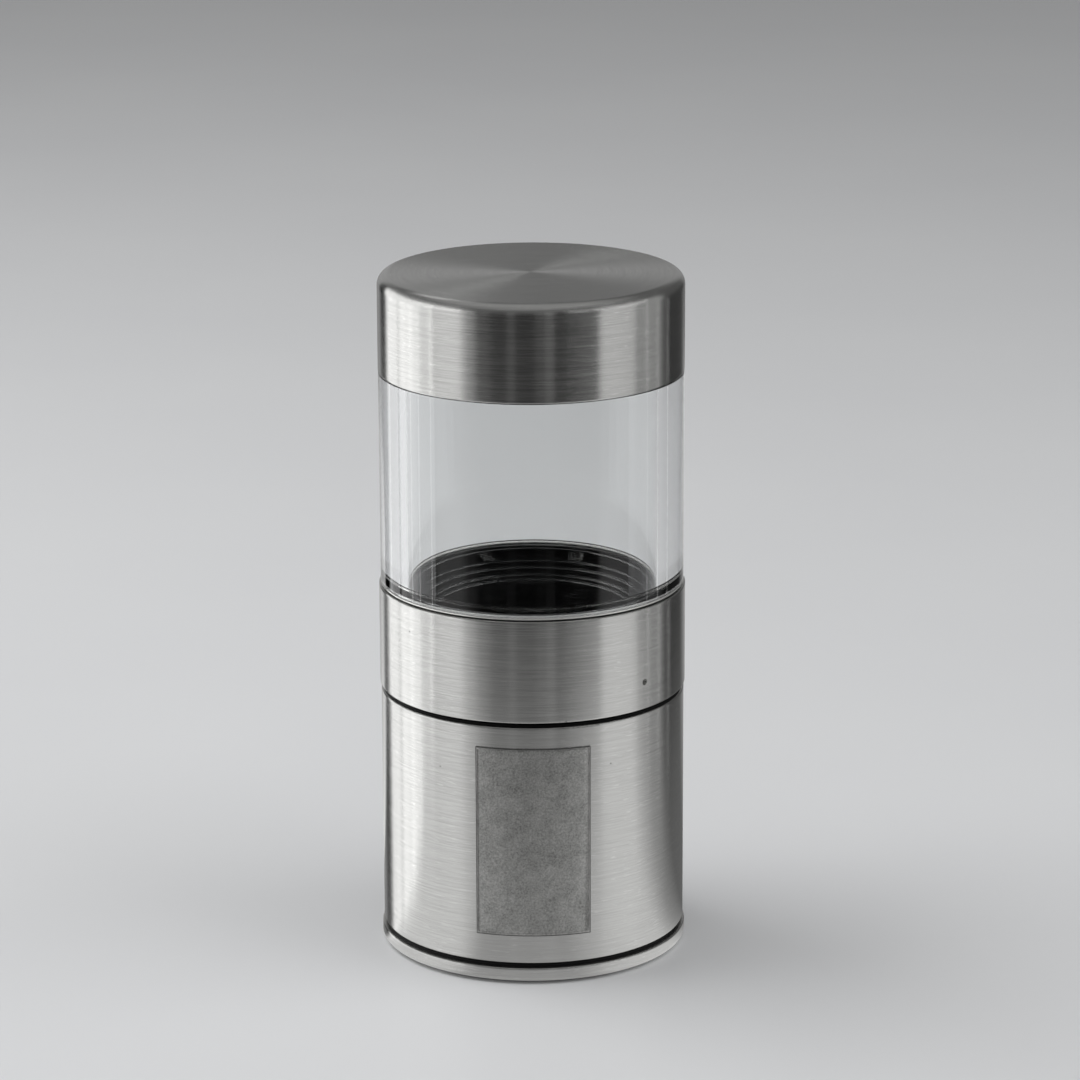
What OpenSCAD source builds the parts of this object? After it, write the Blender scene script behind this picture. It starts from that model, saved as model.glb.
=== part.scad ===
// Cordless spice grinder: steel motor base, twist-to-run ring, black grinding
// bowl, clear cup and push-on steel lid. Millimetres, +Z up, the origin on the
// floor at the middle of the base, the front plate facing -Y, the port at +Y.

/* [Outer sizes] */
// Diameter of the brushed body shell
body_d = 54.8; // [49:0.1:64]
// How far the base cap's rim stands out past the body shell
base_step = 0.3; // [0.1:0.05:1]
// How far the run ring stands out past the body shell
ring_step = 0.2; // [0:0.05:0.8]
// How far the clear cup is set in from the body shell
cup_step = 0.1; // [0:0.05:0.6]
// How far the lid stands out past the clear cup
lid_step = 0.05; // [0:0.05:0.5]

/* [Heights] */
// How far the rubber foot stands proud of the base cap
foot_proud = 0.5; // [0.3:0.1:1]
// Height of the base cap's rim
base_rim_h = 2.5; // [2.2:0.1:4]
// Height of the black gasket between base cap and body
gasket_h = 0.9; // [0.5:0.1:1.5]
// Height of the body shell
body_h = 44; // [43.4:0.2:50]
// Height of the deck's edge between body and ring
deck_edge_h = 0.5; // [0.3:0.1:1]
// Height of the run ring sleeve
ring_h = 18.6; // [18:0.2:22]
// Height of the bright trim ring under the clear cup
trim_h = 0.4; // [0.3:0.1:1]
// Height of clear wall between trim ring and lid
window_h = 38.25; // [24:0.25:60]
// Height of the lid shell
lid_h = 17.55; // [14.5:0.05:24]

/* [Walls] */
// Wall of the clear cup
cup_wall_t = 4.9; // [4.2:0.1:5.6]
// Steel of the body shell and of the run ring sleeve
steel_t = 0.8; // [0.6:0.1:0.9]
// Steel of the lid's side
lid_side_t = 0.8; // [0.6:0.1:0.9]
// Steel of the lid's top
lid_top_t = 1; // [0.6:0.1:1.4]
// Outer edge rounding of the lid
lid_round = 2.6; // [1.4:0.1:3.4]
// Wall of the cup's two necks
neck_t = 2.5; // [2.2:0.1:2.6]
// Height of the cup's upper neck
upper_neck_h = 9; // [7:0.5:10]
// Wall of the lid liner's plug
plug_t = 1.2; // [0.9:0.1:1.8]
// Web and floor of the lid liner
liner_web_t = 1.6; // [1:0.1:2]

/* [Run ring and switch] */
// Radial thickness of the ring carrier
carrier_t = 1.55; // [1.4:0.05:1.6]
// Height of the deck's hub, from the deck's edge to the bowl's seat
hub_h = 4; // [3.8:0.1:4.6]
// Twist of the run ring, degrees
ring_twist = 30; // [15:1:40]
// Travel of the switch plunger
plunger_travel = 0.9; // [0.5:0.1:0.9]
// Diameter of the switch plunger
plunger_d = 1.4; // [1.2:0.1:1.6]
// Diameter of the index mark drilled in the ring
index_d = 0.8; // [0.6:0.1:1.2]
// Where the index mark is, degrees to the right of the front
index_angle = 46; // [20:1:80]

/* [Grinding bowl] */
// Wall of the bowl's spigot at its rim
spigot_t = 0.6; // [0.5:0.1:1.2]
// How far the spigot's rim stands above the cup socket's floor
spigot_h = 5.6; // [4.6:0.1:7]
// Depth of the cup socket, from the run ring's top edge
socket_depth = 5.4; // [4.4:0.1:6.4]
// How much narrower the bowl is near its floor than at its mouth, radially
bowl_draft = 1.3; // [0.8:0.1:2]
// Thickness of the bowl's floor
bowl_floor_t = 2; // [1.6:0.1:2.4]

/* [Blade] */
// Clearance between the blade's tips and the bowl's wall
blade_clear = 1.6; // [1:0.1:4]
// Width of the blade
blade_w = 5.6; // [4:0.1:7]
// Thickness of the blade
blade_t = 0.8; // [0.6:0.1:1.2]
// Upward bend of the blade's tips, degrees
blade_bend = 12; // [0:1:15]

/* [Motor] */
// Motor can, outside
motor_d = 24.4; // [23:0.1:24.6]
// Room under the motor can for its tail, terminals and leads
motor_floor = 8.2; // [7:0.1:9]
// Motor shaft
shaft_d = 2.3; // [2:0.1:3]
// Distance of the motor's screws from its axis
motor_screw_r = 8; // [7:0.1:8.4]

/* [Cells and board] */
// Gap between the cells and the motor can
cell_gap = 0.9; // [0.5:0.1:2]
// Room over the cells, up to the deck's plate
cell_headroom = 8.8; // [8:0.1:14]
// Thickness of the control board
board_t = 1; // [0.8:0.1:1.6]
// Width of the charging port's face
port_w = 12; // [11.8:0.1:13]
// Height of the charging port's face
port_h = 6; // [5.8:0.1:6]

/* [Front plate] */
// Width of the front plate, along the curve
plate_w = 20.7; // [12:0.1:30]
// Distance of the front plate's upper edge below the body's upper edge
plate_drop = 3.8; // [2:0.1:20]
// Thickness of the front plate
plate_t = 0.15; // [0.1:0.05:0.15]
// Height of the front plate's lower edge above the body's lower edge
plate_lift = 5.2; // [3:0.1:7]

/* [Hidden] */
$fn = 96;
eps = 0.01;
// Gap between pieces that move past each other
move_gap = 0.3;
// Radial clearance of a running fit
run_fit = 0.08;
// Radial clearance of a piece that is pressed or slipped into another
slip_fit = 0.05;
// Clearance round the body shell's inner pieces
shell_fit = 0.1;

// Levels, from the floor up
z_cap = foot_proud;
z_cap_top = z_cap + base_rim_h;
z_body = z_cap_top + gasket_h;
z_body_top = z_body + body_h;
z_deck = z_body_top + deck_edge_h;
z_ring = z_deck + move_gap + slip_fit * 2;
z_ring_top = z_ring + ring_h;
z_seat = z_deck + hub_h;
z_socket = z_ring_top - socket_depth;
z_trim = z_ring_top + move_gap - slip_fit;
z_cup = z_trim + trim_h;
z_window_top = z_cup + window_h;
z_lid = z_window_top + move_gap / 2;
z_lid_top = z_lid + lid_h;
z_neck_top = z_window_top + upper_neck_h;

// Radii
body_r = body_d / 2;
body_ri = body_r - steel_t;
base_r = body_r + base_step;
ring_r = body_r + ring_step;
ring_ri = ring_r - steel_t;
carrier_r = ring_ri - slip_fit;
carrier_ri = carrier_r - carrier_t;
hub_r = carrier_ri - run_fit;
bowl_r = carrier_ri - move_gap;
collar_r = ring_ri - move_gap;
cup_r = body_r - cup_step;
bore_r = cup_r - cup_wall_t;
neck_r = bore_r + neck_t;
socket_r = neck_r + move_gap;
spigot_r = bore_r - move_gap;
spigot_ri = spigot_r - spigot_t;
lid_r = cup_r + lid_step;
lid_ri = lid_r - lid_side_t;

// Deck
deck_plate_t = 2;
z_plate = z_seat - deck_plate_t;
deck_wall = 1.5;
hub_ri = hub_r - deck_wall;
deck_spigot_r = body_ri - shell_fit;
deck_spigot_h = 4;
deck_spigot_t = 1.9;
motor_sleeve_t = 1.7;
motor_sleeve_h = 5;
flange_inset = 0.4;

// Board and cradle levels
board_up = 2.6;
z_board = z_cap_top + board_up;
z_board_top = z_board + board_t;
usb_h = 3.2;
usb_headroom = 0.4;
cradle_floor_t = 1.2;
z_cradle = z_board_top + usb_h + usb_headroom;
z_cradle_top = z_cradle + cradle_floor_t;

// Screws: three sets of the same small screw
screw_r = 1.1;
screw_head_r = 1.9;
screw_head_h = 1.2;
screw_hole_r = screw_r + slip_fit;
screw_pass_r = screw_r + 2 * slip_fit;
head_pocket_r = screw_head_r + 2 * slip_fit;
boss_r = 2.6;
post_inset = 5.6;
post_r = body_ri - post_inset;
post_angles = [0, 180, 270];
bowl_screw_angles = [45, 165, 285];
screw_bite = 6;
deck_screw_bite = 9;

// Bowl: its inner steps, each [how far it reaches in from the spigot's inner
// wall, drop from the rim]
steps = [[0.5, 2.1], [1.5, 3.2], [2.6, 4.3], [3.6, 4.9]];
bowl_mouth_r = spigot_ri - steps[3][0];
bowl_foot_r = bowl_mouth_r - bowl_draft;
z_rim = z_socket + spigot_h;
z_bowl_floor = z_seat + bowl_floor_t;
bowl_wall = 2;
skirt_t = 1.7;
core_out_r = bowl_r - skirt_t;
core_in_r = bowl_mouth_r + bowl_wall;
bowl_screw_r = (core_out_r + core_in_r) / 2;
bowl_rim_lip = z_ring_top - slip_fit;
collar_gap = move_gap;
collar_t = 1.4;
z_collar = z_socket - collar_t;
core_roof_t = 1.6;
bowl_fillet = 2.1;
seal_r = 3.4;
seal_wall = 1.2;
seal_lip = 1;
seal_sink = 0.8;

// Blade
blade_l = 2 * (bowl_foot_r - blade_clear);
blade_hub_r = 3.2;
blade_hub_h = 1.4;
hub_gap = 0.5;
z_blade_hub = z_bowl_floor + seal_lip + hub_gap;
z_blade = z_blade_hub + blade_hub_h;
z_blade_top = z_blade + blade_t;
nut_h = 1.3;
nut_r = 2.9;
nut_cone_r = 2.3;
nut_tip_r = 1.5;

// Cup seal, drag ring and lid seal: round rubber sections
seal_section = 0.8;
cup_seal_up = 2.6;
drag_up = 4.1;

// Lid liner
liner_r = lid_ri - slip_fit;
liner_ri = neck_r + move_gap;
plug_r = bore_r - move_gap;
plug_up = 1.3;
z_plug = z_window_top + plug_up;
web_gap = 0.9;
z_web = z_neck_top + web_gap;
sleeve_up = 0.8;
sleeve_over = 1;
lid_seal_up = 4;

// Run switch and its cam
switch_angle = 90;
plunger_r = plunger_d / 2;
plunger_top_gap = 0.1;
z_plunger = z_plate - plunger_top_gap - plunger_r;
plunger_tip_r = carrier_ri + plunger_travel - move_gap / 2;
switch_inset = 3.9;
switch_face_r = carrier_ri - switch_inset;
switch_l = 4.6;
switch_w = 12.8;
switch_h = 3.2;
lead_inset = 1;
switch_lead_x = switch_w / 2 - lead_inset;
lead_setback = 2.1;
switch_lead_r = switch_face_r - lead_setback;
plunger_in = 1.6;
cam_dwell = 4;
stop_angle = 330;
stop_half = 3;
stop_gap = 0.8;
stop_h = 1;

// Motor
motor_r = motor_d / 2;
can_t = 0.8;
can_top_t = 1.2;
z_motor_top = z_plate;
z_motor = z_cradle_top + motor_floor;
motor_boss_r = 3;
motor_boss_h = 1.4;
bush_r = 2.6;
bush_h = 2.2;
shaft_r = shaft_d / 2;
end_bell_h = 2.5;
tail_h = 2;
magnet_t = 2.1;
magnet_span = 130;
magnet_over = 2;
air_gap = 0.45;
core_r = motor_r - can_t - slip_fit - magnet_t - air_gap;
core_up = 9.4;
core_drop = 6.4;
z_core = z_motor + core_up;
core_h = z_motor_top - core_drop - z_core;
shoe_t = 1.5;
core_hub_r = 3.6;
arm_w = 2.8;
slit_w = 2.4;
winding_out = 1.4;
winding_w = 6.4;
winding_in = 2.4;
winding_hub = 0.2;
comm_r = 3;
comm_h = 4.6;
comm_gap = 0.6;
comm_slit = 0.3;
comm_slit_depth = 0.8;
brush_l = 3;
brush_w = 2.4;
brush_up = 1;
brush_seat_w = 3.2;
terminal_h = 4;
terminal_w = 2.5;
terminal_t = 0.5;
terminal_up = 0.5;
terminal_inset = 4.2;
terminal_x = motor_r - terminal_inset;
seat_gap = 0.8;
lead_r = 0.6;
lead_gap = 0.3;

// Cradle, cells and board
board_inset = 2.2;
board_r = body_ri - board_inset;
// Chips on the board, each [x, y, length, width]
chips = [[-9, -6, 5, 4], [4, -9, 7, 5], [-3, 4, 6, 6]];
chip_h = 1.4;
usb_w = 9;
usb_l = 7.3;
usb_wall = 0.3;
usb_tongue_w = 6.6;
usb_tongue_t = 0.7;
cradle_r = body_ri - shell_fit;
strap_t = 0.2;
z_cell = z_cradle_top + strap_t;
z_cell_top = z_plate - cell_headroom;
cell_angles = [45, 135, 225, 315];
cell_wall = 0.7;
cell_cup_gap = 0.35;
cell_cup_h = 8;
cradle_bay = 1;
// The cells fill the space between the motor can and the deck's spigot
cell_in = motor_r + cell_gap;
cell_out = deck_spigot_r - deck_spigot_t - cell_cup_gap - cell_wall - slip_fit;
cell_d = cell_out - cell_in;
cell_r = (cell_out + cell_in) / 2;
button_r = 2.4;
button_h = 0.6;
strap_edge = 1.1;
strap_in = cell_in + strap_edge;
strap_button = 2.1;
strap_top_in = cell_r - strap_button;
strap_clear = 0.5;
strap_out = cell_r - strap_clear;
strap_span = 90;
tab_span = 16;
post_drop = 6.5;
z_post_top = z_plate - post_drop;
z_port = z_board_top + usb_h / 2;
usb_inset = 1.1;
usb_face_y = body_ri - usb_inset;
stake_angles = [30, 150, 240];
stake_inset = 4.4;
stake_r = board_r - stake_inset;
stake_shoulder_r = 1.6;
stake_pin_r = 0.7;
light_angle = 66;
light_r = 1;

// Port: bezel set in the body's slot, and its rubber cover
port_gap = 0.1;
bezel_rim = 0.75;
bezel_ear = 1;
usb_window = 0.4;
cover_gap = 0.15;
cover_t = 1.2;
cover_sink = 0.4;
cover_w = port_w - 2 * (bezel_rim + cover_gap);
cover_h = port_h - 2 * (bezel_rim + cover_gap);
cover_face_r = body_r - slip_fit;

// Base
cap_floor_t = 1;
cap_land = 4.5;
cap_round = 0.8;
cap_boss_r = 3.2;
cap_boss_h = 2.9;
foot_w = 2.6;
foot_inset = 1.5;
foot_sink = 0.7;
cap_lip = 0.3;
gasket_land = 1.2;
gasket_inset = 0.4;
head_sink = 0.3;
thread_clear = 0.5;

// ---- shared shapes ----

function arc_points(cx, cy, r, from, to, n = 8) =
    [for (i = [0:n]) let (a = from + (to - from) * i / n) [cx + r * cos(a), cy + r * sin(a)]];

module disc(r, z_from, z_to) {
    translate([0, 0, z_from]) cylinder(r = r, h = z_to - z_from);
}

module tube(r, ri, z_from, z_to) {
    difference() {
        disc(r, z_from, z_to);
        disc(ri, z_from - eps, z_to + eps);
    }
}

module polar(r, angle) {
    rotate([0, 0, angle]) translate([r, 0, 0]) children();
}

// A bar along the radius at an angle, from one radius to another
module radial_bar(r, angle, from, to, z) {
    rotate([0, 0, angle]) translate([from, 0, z]) rotate([0, 90, 0]) cylinder(r = r, h = to - from);
}

// A sector of a tube, centred on an angle
module sector(r, ri, centre, span, z_from, z_to) {
    rotate([0, 0, centre - span / 2])
        rotate_extrude(angle = span)
            translate([ri, z_from]) square([r - ri, z_to - z_from]);
}

module round_seal(r, z, section) {
    rotate_extrude() translate([r, z]) circle(d = section, $fn = 32);
}

// A stadium outline of full width w and height h, standing in XZ and run along Y
module stadium_bar(w, h, y_from, y_to, z) {
    translate([0, y_to, z]) rotate([90, 0, 0]) linear_extrude(height = y_to - y_from) {
        square([w - h, h], center = true);
        for (side = [-1, 1]) translate([side * (w - h) / 2, 0]) circle(d = h);
    }
}

// Pan-head screw pointing down from z_head, its head above
module screw_down(z_head, length) {
    disc(screw_head_r, z_head, z_head + screw_head_h);
    disc(screw_r, z_head - length, z_head + eps);
}

// The same screw pointing up from z_head, its head below
module screw_up(z_head, length) {
    disc(screw_head_r, z_head - screw_head_h, z_head);
    disc(screw_r, z_head - eps, z_head + length);
}

// ---- lid ----

module lid_shell() {
    inner_round = lid_round - min(lid_side_t, lid_top_t);
    color("silver") rotate_extrude() polygon(concat(
        [[0, z_lid_top - lid_top_t], [0, z_lid_top]],
        arc_points(lid_r - lid_round, z_lid_top - lid_round, lid_round, 90, 0),
        [[lid_r, z_lid], [lid_ri, z_lid]],
        arc_points(lid_ri - inner_round, z_lid_top - lid_top_t - inner_round, inner_round, 0, 90)
    ));
}

module lid_liner() {
    z_sleeve = z_lid + sleeve_up;
    z_sleeve_top = z_web + liner_web_t + sleeve_over;
    color("gray") difference() {
        union() {
            tube(liner_r, liner_ri, z_sleeve, z_sleeve_top);
            tube(liner_ri + eps, plug_r - plug_t, z_web, z_web + liner_web_t);
            tube(plug_r, plug_r - plug_t, z_plug, z_web + eps);
            disc(plug_r - plug_t + eps, z_plug, z_plug + liner_web_t);
        }
        // groove for the lid seal
        tube(bore_r, bore_r - slip_fit - seal_section, z_plug + lid_seal_up - seal_section / 2,
             z_plug + lid_seal_up + seal_section / 2);
    }
}

module lid_seal() {
    color("whitesmoke") round_seal(bore_r - slip_fit - seal_section / 2, z_plug + lid_seal_up,
                                   seal_section - 2 * eps);
}

// ---- cup ----

module clear_cup() {
    edge = 0.4;
    z_foot = z_socket + move_gap;
    color("lightcyan", 0.35) difference() {
        rotate_extrude() polygon([
            [bore_r, z_foot], [neck_r - edge, z_foot], [neck_r, z_foot + edge],
            [neck_r, z_cup], [cup_r - edge, z_cup], [cup_r, z_cup + edge],
            [cup_r, z_window_top], [neck_r, z_window_top],
            [neck_r, z_neck_top - edge], [neck_r - edge, z_neck_top], [bore_r, z_neck_top]
        ]);
        // groove for the cup seal
        tube(cup_r, socket_r - slip_fit * 2 - seal_section,
             z_socket + cup_seal_up - seal_section / 2, z_socket + cup_seal_up + seal_section / 2);
    }
}

module cup_trim_ring() {
    color("gainsboro") tube(cup_r + slip_fit, neck_r + slip_fit, z_trim, z_cup);
}

module cup_seal() {
    color("dimgray") round_seal(socket_r - slip_fit * 2 - seal_section / 2, z_socket + cup_seal_up,
                                seal_section - 2 * eps);
}

// ---- run ring ----

module run_ring_sleeve() {
    index_depth = steel_t * 0.6;
    color("silver") difference() {
        tube(ring_r, ring_ri, z_ring, z_ring_top);
        radial_bar(index_d / 2, index_angle - 90, ring_r - index_depth, ring_r + 1,
                   z_ring + ring_h * 0.27);
    }
}

// The cam: a pocket whose depth falls from plunger_travel to nothing over the twist
module cam_pocket() {
    n = 24;
    outline = concat(
        [for (i = [0:n]) let (a = switch_angle + cam_dwell - i * (ring_twist + 2 * cam_dwell) / n)
            let (t = min(1, max(0, (switch_angle - a) / ring_twist)))
            (carrier_ri + plunger_travel * (1 - t)) * [cos(a), sin(a)]],
        [for (a = [switch_angle - ring_twist - cam_dwell, switch_angle + cam_dwell])
            (carrier_ri - 1.5) * [cos(a), sin(a)]]
    );
    pocket_top = z_plunger + plunger_r + move_gap;
    translate([0, 0, z_ring - 1]) linear_extrude(height = pocket_top - z_ring + 1) polygon(outline);
}

module ring_carrier() {
    z_low = z_ring + slip_fit * 2;
    slot = ring_twist + 2 * (stop_half + stop_gap);
    color("darkslategray") difference() {
        tube(carrier_r, carrier_ri, z_low, z_collar - collar_gap);
        cam_pocket();
        // slot that the deck's stop runs in
        sector(carrier_r + 1, carrier_ri - 1, stop_angle - ring_twist / 2, slot,
               z_ring - 1, z_low + stop_h + move_gap);
    }
}

module ring_drag_seal() {
    color("black") round_seal(carrier_ri - slip_fit - seal_section / 2, z_seat + drag_up,
                              seal_section - 2 * eps);
}

// ---- grinding bowl and deck ----

// Space inside the bowl, as half a section: floor, fillet, wall and the inner steps
module bowl_space() {
    r_steps = [for (s = steps) spigot_ri - s[0]];
    z_steps = [for (s = steps) z_rim - s[1]];
    rotate_extrude() polygon(concat(
        [[0, z_bowl_floor], [bowl_foot_r - bowl_fillet, z_bowl_floor]],
        arc_points(bowl_foot_r - bowl_fillet, z_bowl_floor + bowl_fillet, bowl_fillet, -90, 0),
        [[r_steps[3], z_steps[3]], [r_steps[2], z_steps[3]],
         [r_steps[2], z_steps[2]], [r_steps[1], z_steps[2]],
         [r_steps[1], z_steps[1]], [r_steps[0], z_steps[1]],
         [r_steps[0], z_steps[0]], [spigot_ri, z_steps[0]],
         [spigot_ri, z_rim + 1], [0, z_rim + 1]]
    ));
}

module grinding_bowl() {
    z_core_out = z_collar - core_roof_t;
    color("black") difference() {
        union() {
            disc(bowl_r, z_seat, z_collar + eps);
            disc(collar_r, z_collar, z_socket + eps);
            tube(collar_r, socket_r, z_socket, bowl_rim_lip);
            disc(spigot_r, z_socket, z_rim);
        }
        difference() {
            bowl_space();
            disc(seal_r + seal_wall, z_seat, z_bowl_floor + seal_lip);
        }
        // hollow moulding under the socket, with three screw bosses left in it
        difference() {
            tube(core_out_r, core_in_r, z_seat - 1, z_core_out);
            for (a = bowl_screw_angles) polar(bowl_screw_r, a) disc(boss_r, z_seat - 2, z_core_out + 1);
        }
        for (a = bowl_screw_angles) polar(bowl_screw_r, a) disc(screw_hole_r, z_seat - 1, z_seat + screw_bite);
        // shaft passage and the pocket of its seal
        disc(shaft_r + 2 * move_gap, z_seat - 1, z_rim);
        disc(seal_r + slip_fit, z_bowl_floor - seal_sink, z_rim);
        // groove for the drag seal
        tube(carrier_ri, carrier_ri - slip_fit - seal_section,
             z_seat + drag_up - seal_section / 2, z_seat + drag_up + seal_section / 2);
    }
}

module shaft_seal() {
    color("dimgray") tube(seal_r, shaft_r + slip_fit, z_bowl_floor - seal_sink, z_bowl_floor + seal_lip);
}

module motor_deck() {
    color("dimgray") difference() {
        union() {
            disc(hub_r, z_deck - eps, z_seat);
            disc(body_r - flange_inset, z_body_top, z_deck);
            tube(deck_spigot_r, deck_spigot_r - deck_spigot_t, z_body_top - deck_spigot_h, z_body_top + eps);
            // stop that the ring's slot turns against
            sector(carrier_ri + 0.8, hub_r - 1, stop_angle, 2 * stop_half, z_deck - eps, z_ring + stop_h);
        }
        // hollow under the plate, keeping the motor's sleeve and the three post lugs
        difference() {
            disc(hub_ri, z_body_top - 1, z_plate);
            disc(motor_r + motor_sleeve_t, z_body_top - 2, z_plate + eps);
            for (a = post_angles) polar(post_r, a) disc(boss_r, z_body_top - 2, z_plate + eps);
        }
        disc(motor_r + slip_fit, z_body_top - 2, z_plate);
        disc(motor_boss_r + slip_fit, z_plate - 1, z_seat + 1);
        for (side = [-1, 1]) translate([side * motor_screw_r, 0, 0]) {
            disc(screw_pass_r, z_plate - 1, z_seat + 1);
            disc(head_pocket_r, z_seat - screw_head_h - slip_fit, z_seat + 1);
        }
        for (a = post_angles) polar(post_r, a) {
            disc(screw_pass_r, z_body_top - 2, z_seat + 1);
            disc(head_pocket_r, z_seat - screw_head_h - slip_fit, z_seat + 1);
        }
        for (a = bowl_screw_angles) polar(bowl_screw_r, a) {
            disc(screw_pass_r, z_plate - 1, z_seat + 1);
            disc(head_pocket_r, z_body_top - 1, z_plate);
        }
        radial_bar(plunger_r + slip_fit, switch_angle, hub_ri - 1, hub_r + 1, z_plunger);
    }
    color("dimgray") {
        for (a = post_angles) polar(post_r, a)
            tube(boss_r, screw_pass_r, z_post_top, z_body_top + eps);
        tube(motor_r + motor_sleeve_t, motor_r + slip_fit, z_plate - motor_sleeve_h, z_body_top + eps);
    }
}

// ---- blade and rotor ----

module blade() {
    flat_l = blade_l * 0.5;
    tip_l = (blade_l - flat_l) / 2;
    color("lightgray") difference() {
        union() {
            translate([-flat_l / 2, -blade_w / 2, z_blade]) cube([flat_l, blade_w, blade_t]);
            for (side = [0, 180]) rotate([0, 0, side])
                translate([flat_l / 2, 0, z_blade]) rotate([0, -blade_bend, 0]) difference() {
                    translate([-0.1, -blade_w / 2, 0]) cube([tip_l, blade_w, blade_t]);
                    // the leading corner is ground off at a slant
                    translate([tip_l * 0.45, -blade_w / 2, -1]) rotate([0, 0, 22])
                        translate([0, -blade_w, 0]) cube([tip_l * 2, blade_w, 2 + blade_t]);
                }
        }
        disc(shaft_r + slip_fit, z_blade - 1, z_blade_top + 1);
    }
}

module blade_hub() {
    color("silver") tube(blade_hub_r, shaft_r + slip_fit, z_blade_hub, z_blade);
}

module blade_nut() {
    color("silver") difference() {
        union() {
            translate([0, 0, z_blade_top]) cylinder(r = nut_r, h = nut_h * 0.7, $fn = 6);
            translate([0, 0, z_blade_top + nut_h * 0.7 - eps])
                cylinder(r1 = nut_cone_r, r2 = nut_tip_r, h = nut_h * 0.3);
        }
        disc(shaft_r + slip_fit, z_blade_top - 1, z_blade_top + nut_h * 0.6);
    }
}

module rotor_shaft() {
    color("lightgray") disc(shaft_r, z_motor - tail_h + move_gap, z_blade_top + nut_h * 0.5);
}

module armature_core() {
    color("slategray") difference() {
        disc(core_r, z_core, z_core + core_h);
        disc(shaft_r + slip_fit, z_core - 1, z_core + core_h + 1);
        // three winding spaces between hub, arms and pole shoes, each open through a slit
        difference() {
            tube(core_r - shoe_t, core_hub_r, z_core - 1, z_core + core_h + 1);
            for (a = [0, 120, 240]) rotate([0, 0, a])
                translate([core_hub_r / 2, -arm_w / 2, z_core - 2]) cube([core_r, arm_w, core_h + 4]);
        }
        for (a = [60, 180, 300]) rotate([0, 0, a])
            translate([core_r - shoe_t - 0.5, -slit_w / 2, z_core - 1]) cube([shoe_t + 2, slit_w, core_h + 2]);
    }
}

module armature_windings() {
    from = core_hub_r + winding_hub;
    color("peru") for (a = [0, 120, 240]) rotate([0, 0, a]) difference() {
        translate([from, -winding_w / 2, z_core - winding_out])
            cube([core_r - winding_in - from, winding_w, core_h + 2 * winding_out]);
        translate([from - 1, -arm_w / 2 - slip_fit, z_core - slip_fit])
            cube([core_r, arm_w + 2 * slip_fit, core_h + 2 * slip_fit]);
    }
}

module commutator() {
    z_comm = z_motor + end_bell_h + comm_gap;
    color("sandybrown") difference() {
        tube(comm_r, shaft_r + slip_fit, z_comm, z_comm + comm_h);
        for (a = [60, 180, 300]) rotate([0, 0, a])
            translate([comm_r - comm_slit_depth, -comm_slit / 2, z_comm - 1])
                cube([comm_r, comm_slit, comm_h + 0.6]);
    }
}

module motor_can() {
    can_ri = motor_r - can_t;
    color("silver") difference() {
        union() {
            disc(motor_r, z_motor, z_motor_top);
            disc(motor_boss_r, z_motor_top - eps, z_motor_top + motor_boss_h);
        }
        disc(can_ri, z_motor - 1, z_motor_top - can_top_t);
        disc(bush_r + slip_fit, z_motor_top - 2, z_motor_top + motor_boss_h + 1);
        for (side = [-1, 1]) translate([side * motor_screw_r, 0, 0])
            disc(screw_hole_r, z_motor_top - 2, z_motor_top + 1);
    }
}

module motor_magnets() {
    ro = motor_r - can_t - slip_fit;
    color("dimgray") for (a = [90, 270])
        sector(ro, ro - magnet_t, a, magnet_span, z_core - magnet_over, z_core + core_h + magnet_over);
}

module motor_end_bell() {
    color("white") difference() {
        union() {
            disc(motor_r - can_t - slip_fit, z_motor, z_motor + end_bell_h);
            disc(bush_r + 1, z_motor - tail_h, z_motor + eps);
            // seats of the two brushes
            for (side = [0, 180]) rotate([0, 0, side])
                translate([comm_r + seat_gap, -brush_seat_w / 2, z_motor + end_bell_h - eps])
                    cube([terminal_x - comm_r - 2 * seat_gap, brush_seat_w, brush_up]);
        }
        disc(bush_r + slip_fit, z_motor - tail_h - 1, z_motor + end_bell_h + 2);
        for (side = [-1, 1])
            translate([side * terminal_x - terminal_t / 2 - slip_fit, -terminal_w / 2 - slip_fit, z_motor - 1])
                cube([terminal_t + 2 * slip_fit, terminal_w + 2 * slip_fit, end_bell_h + 2]);
    }
}

module upper_bush() {
    z_top = z_motor_top + motor_boss_h;
    color("goldenrod") tube(bush_r, shaft_r + run_fit / 2, z_top - bush_h, z_top);
}

module lower_bush() {
    z_low = z_motor - tail_h;
    color("goldenrod") tube(bush_r, shaft_r + run_fit / 2, z_low, z_low + bush_h);
}

module motor_brushes() {
    z_brush = z_motor + end_bell_h + brush_up;
    color("black") for (side = [0, 180]) rotate([0, 0, side])
        translate([comm_r + run_fit, -brush_w / 2, z_brush]) cube([brush_l, brush_w, brush_w]);
}

module motor_terminals() {
    color("goldenrod") for (side = [-1, 1])
        translate([side * terminal_x - terminal_t / 2, -terminal_w / 2, z_motor - terminal_h])
            cube([terminal_t, terminal_w, terminal_h + end_bell_h + terminal_up]);
}

module motor_leads() {
    color("firebrick") for (side = [-1, 1])
        translate([side * terminal_x, 0, 0]) disc(lead_r, z_board_top, z_motor - terminal_h);
}

// ---- switch ----

module run_switch() {
    color("black") difference() {
        rotate([0, 0, switch_angle])
            translate([switch_face_r - switch_l, -switch_w / 2, z_plate - switch_h])
                cube([switch_l, switch_w, switch_h]);
        radial_bar(plunger_r + slip_fit * 2, switch_angle, switch_face_r - plunger_in - plunger_travel,
                   switch_face_r + 1, z_plunger);
    }
}

module switch_plunger() {
    tip = 0.5;
    color("ivory") {
        radial_bar(plunger_r, switch_angle, switch_face_r - plunger_in / 2, plunger_tip_r - tip + eps, z_plunger);
        rotate([0, 0, switch_angle]) translate([plunger_tip_r - tip, 0, z_plunger]) rotate([0, 90, 0])
            cylinder(r1 = plunger_r, r2 = plunger_r * 0.4, h = tip);
    }
}

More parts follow.
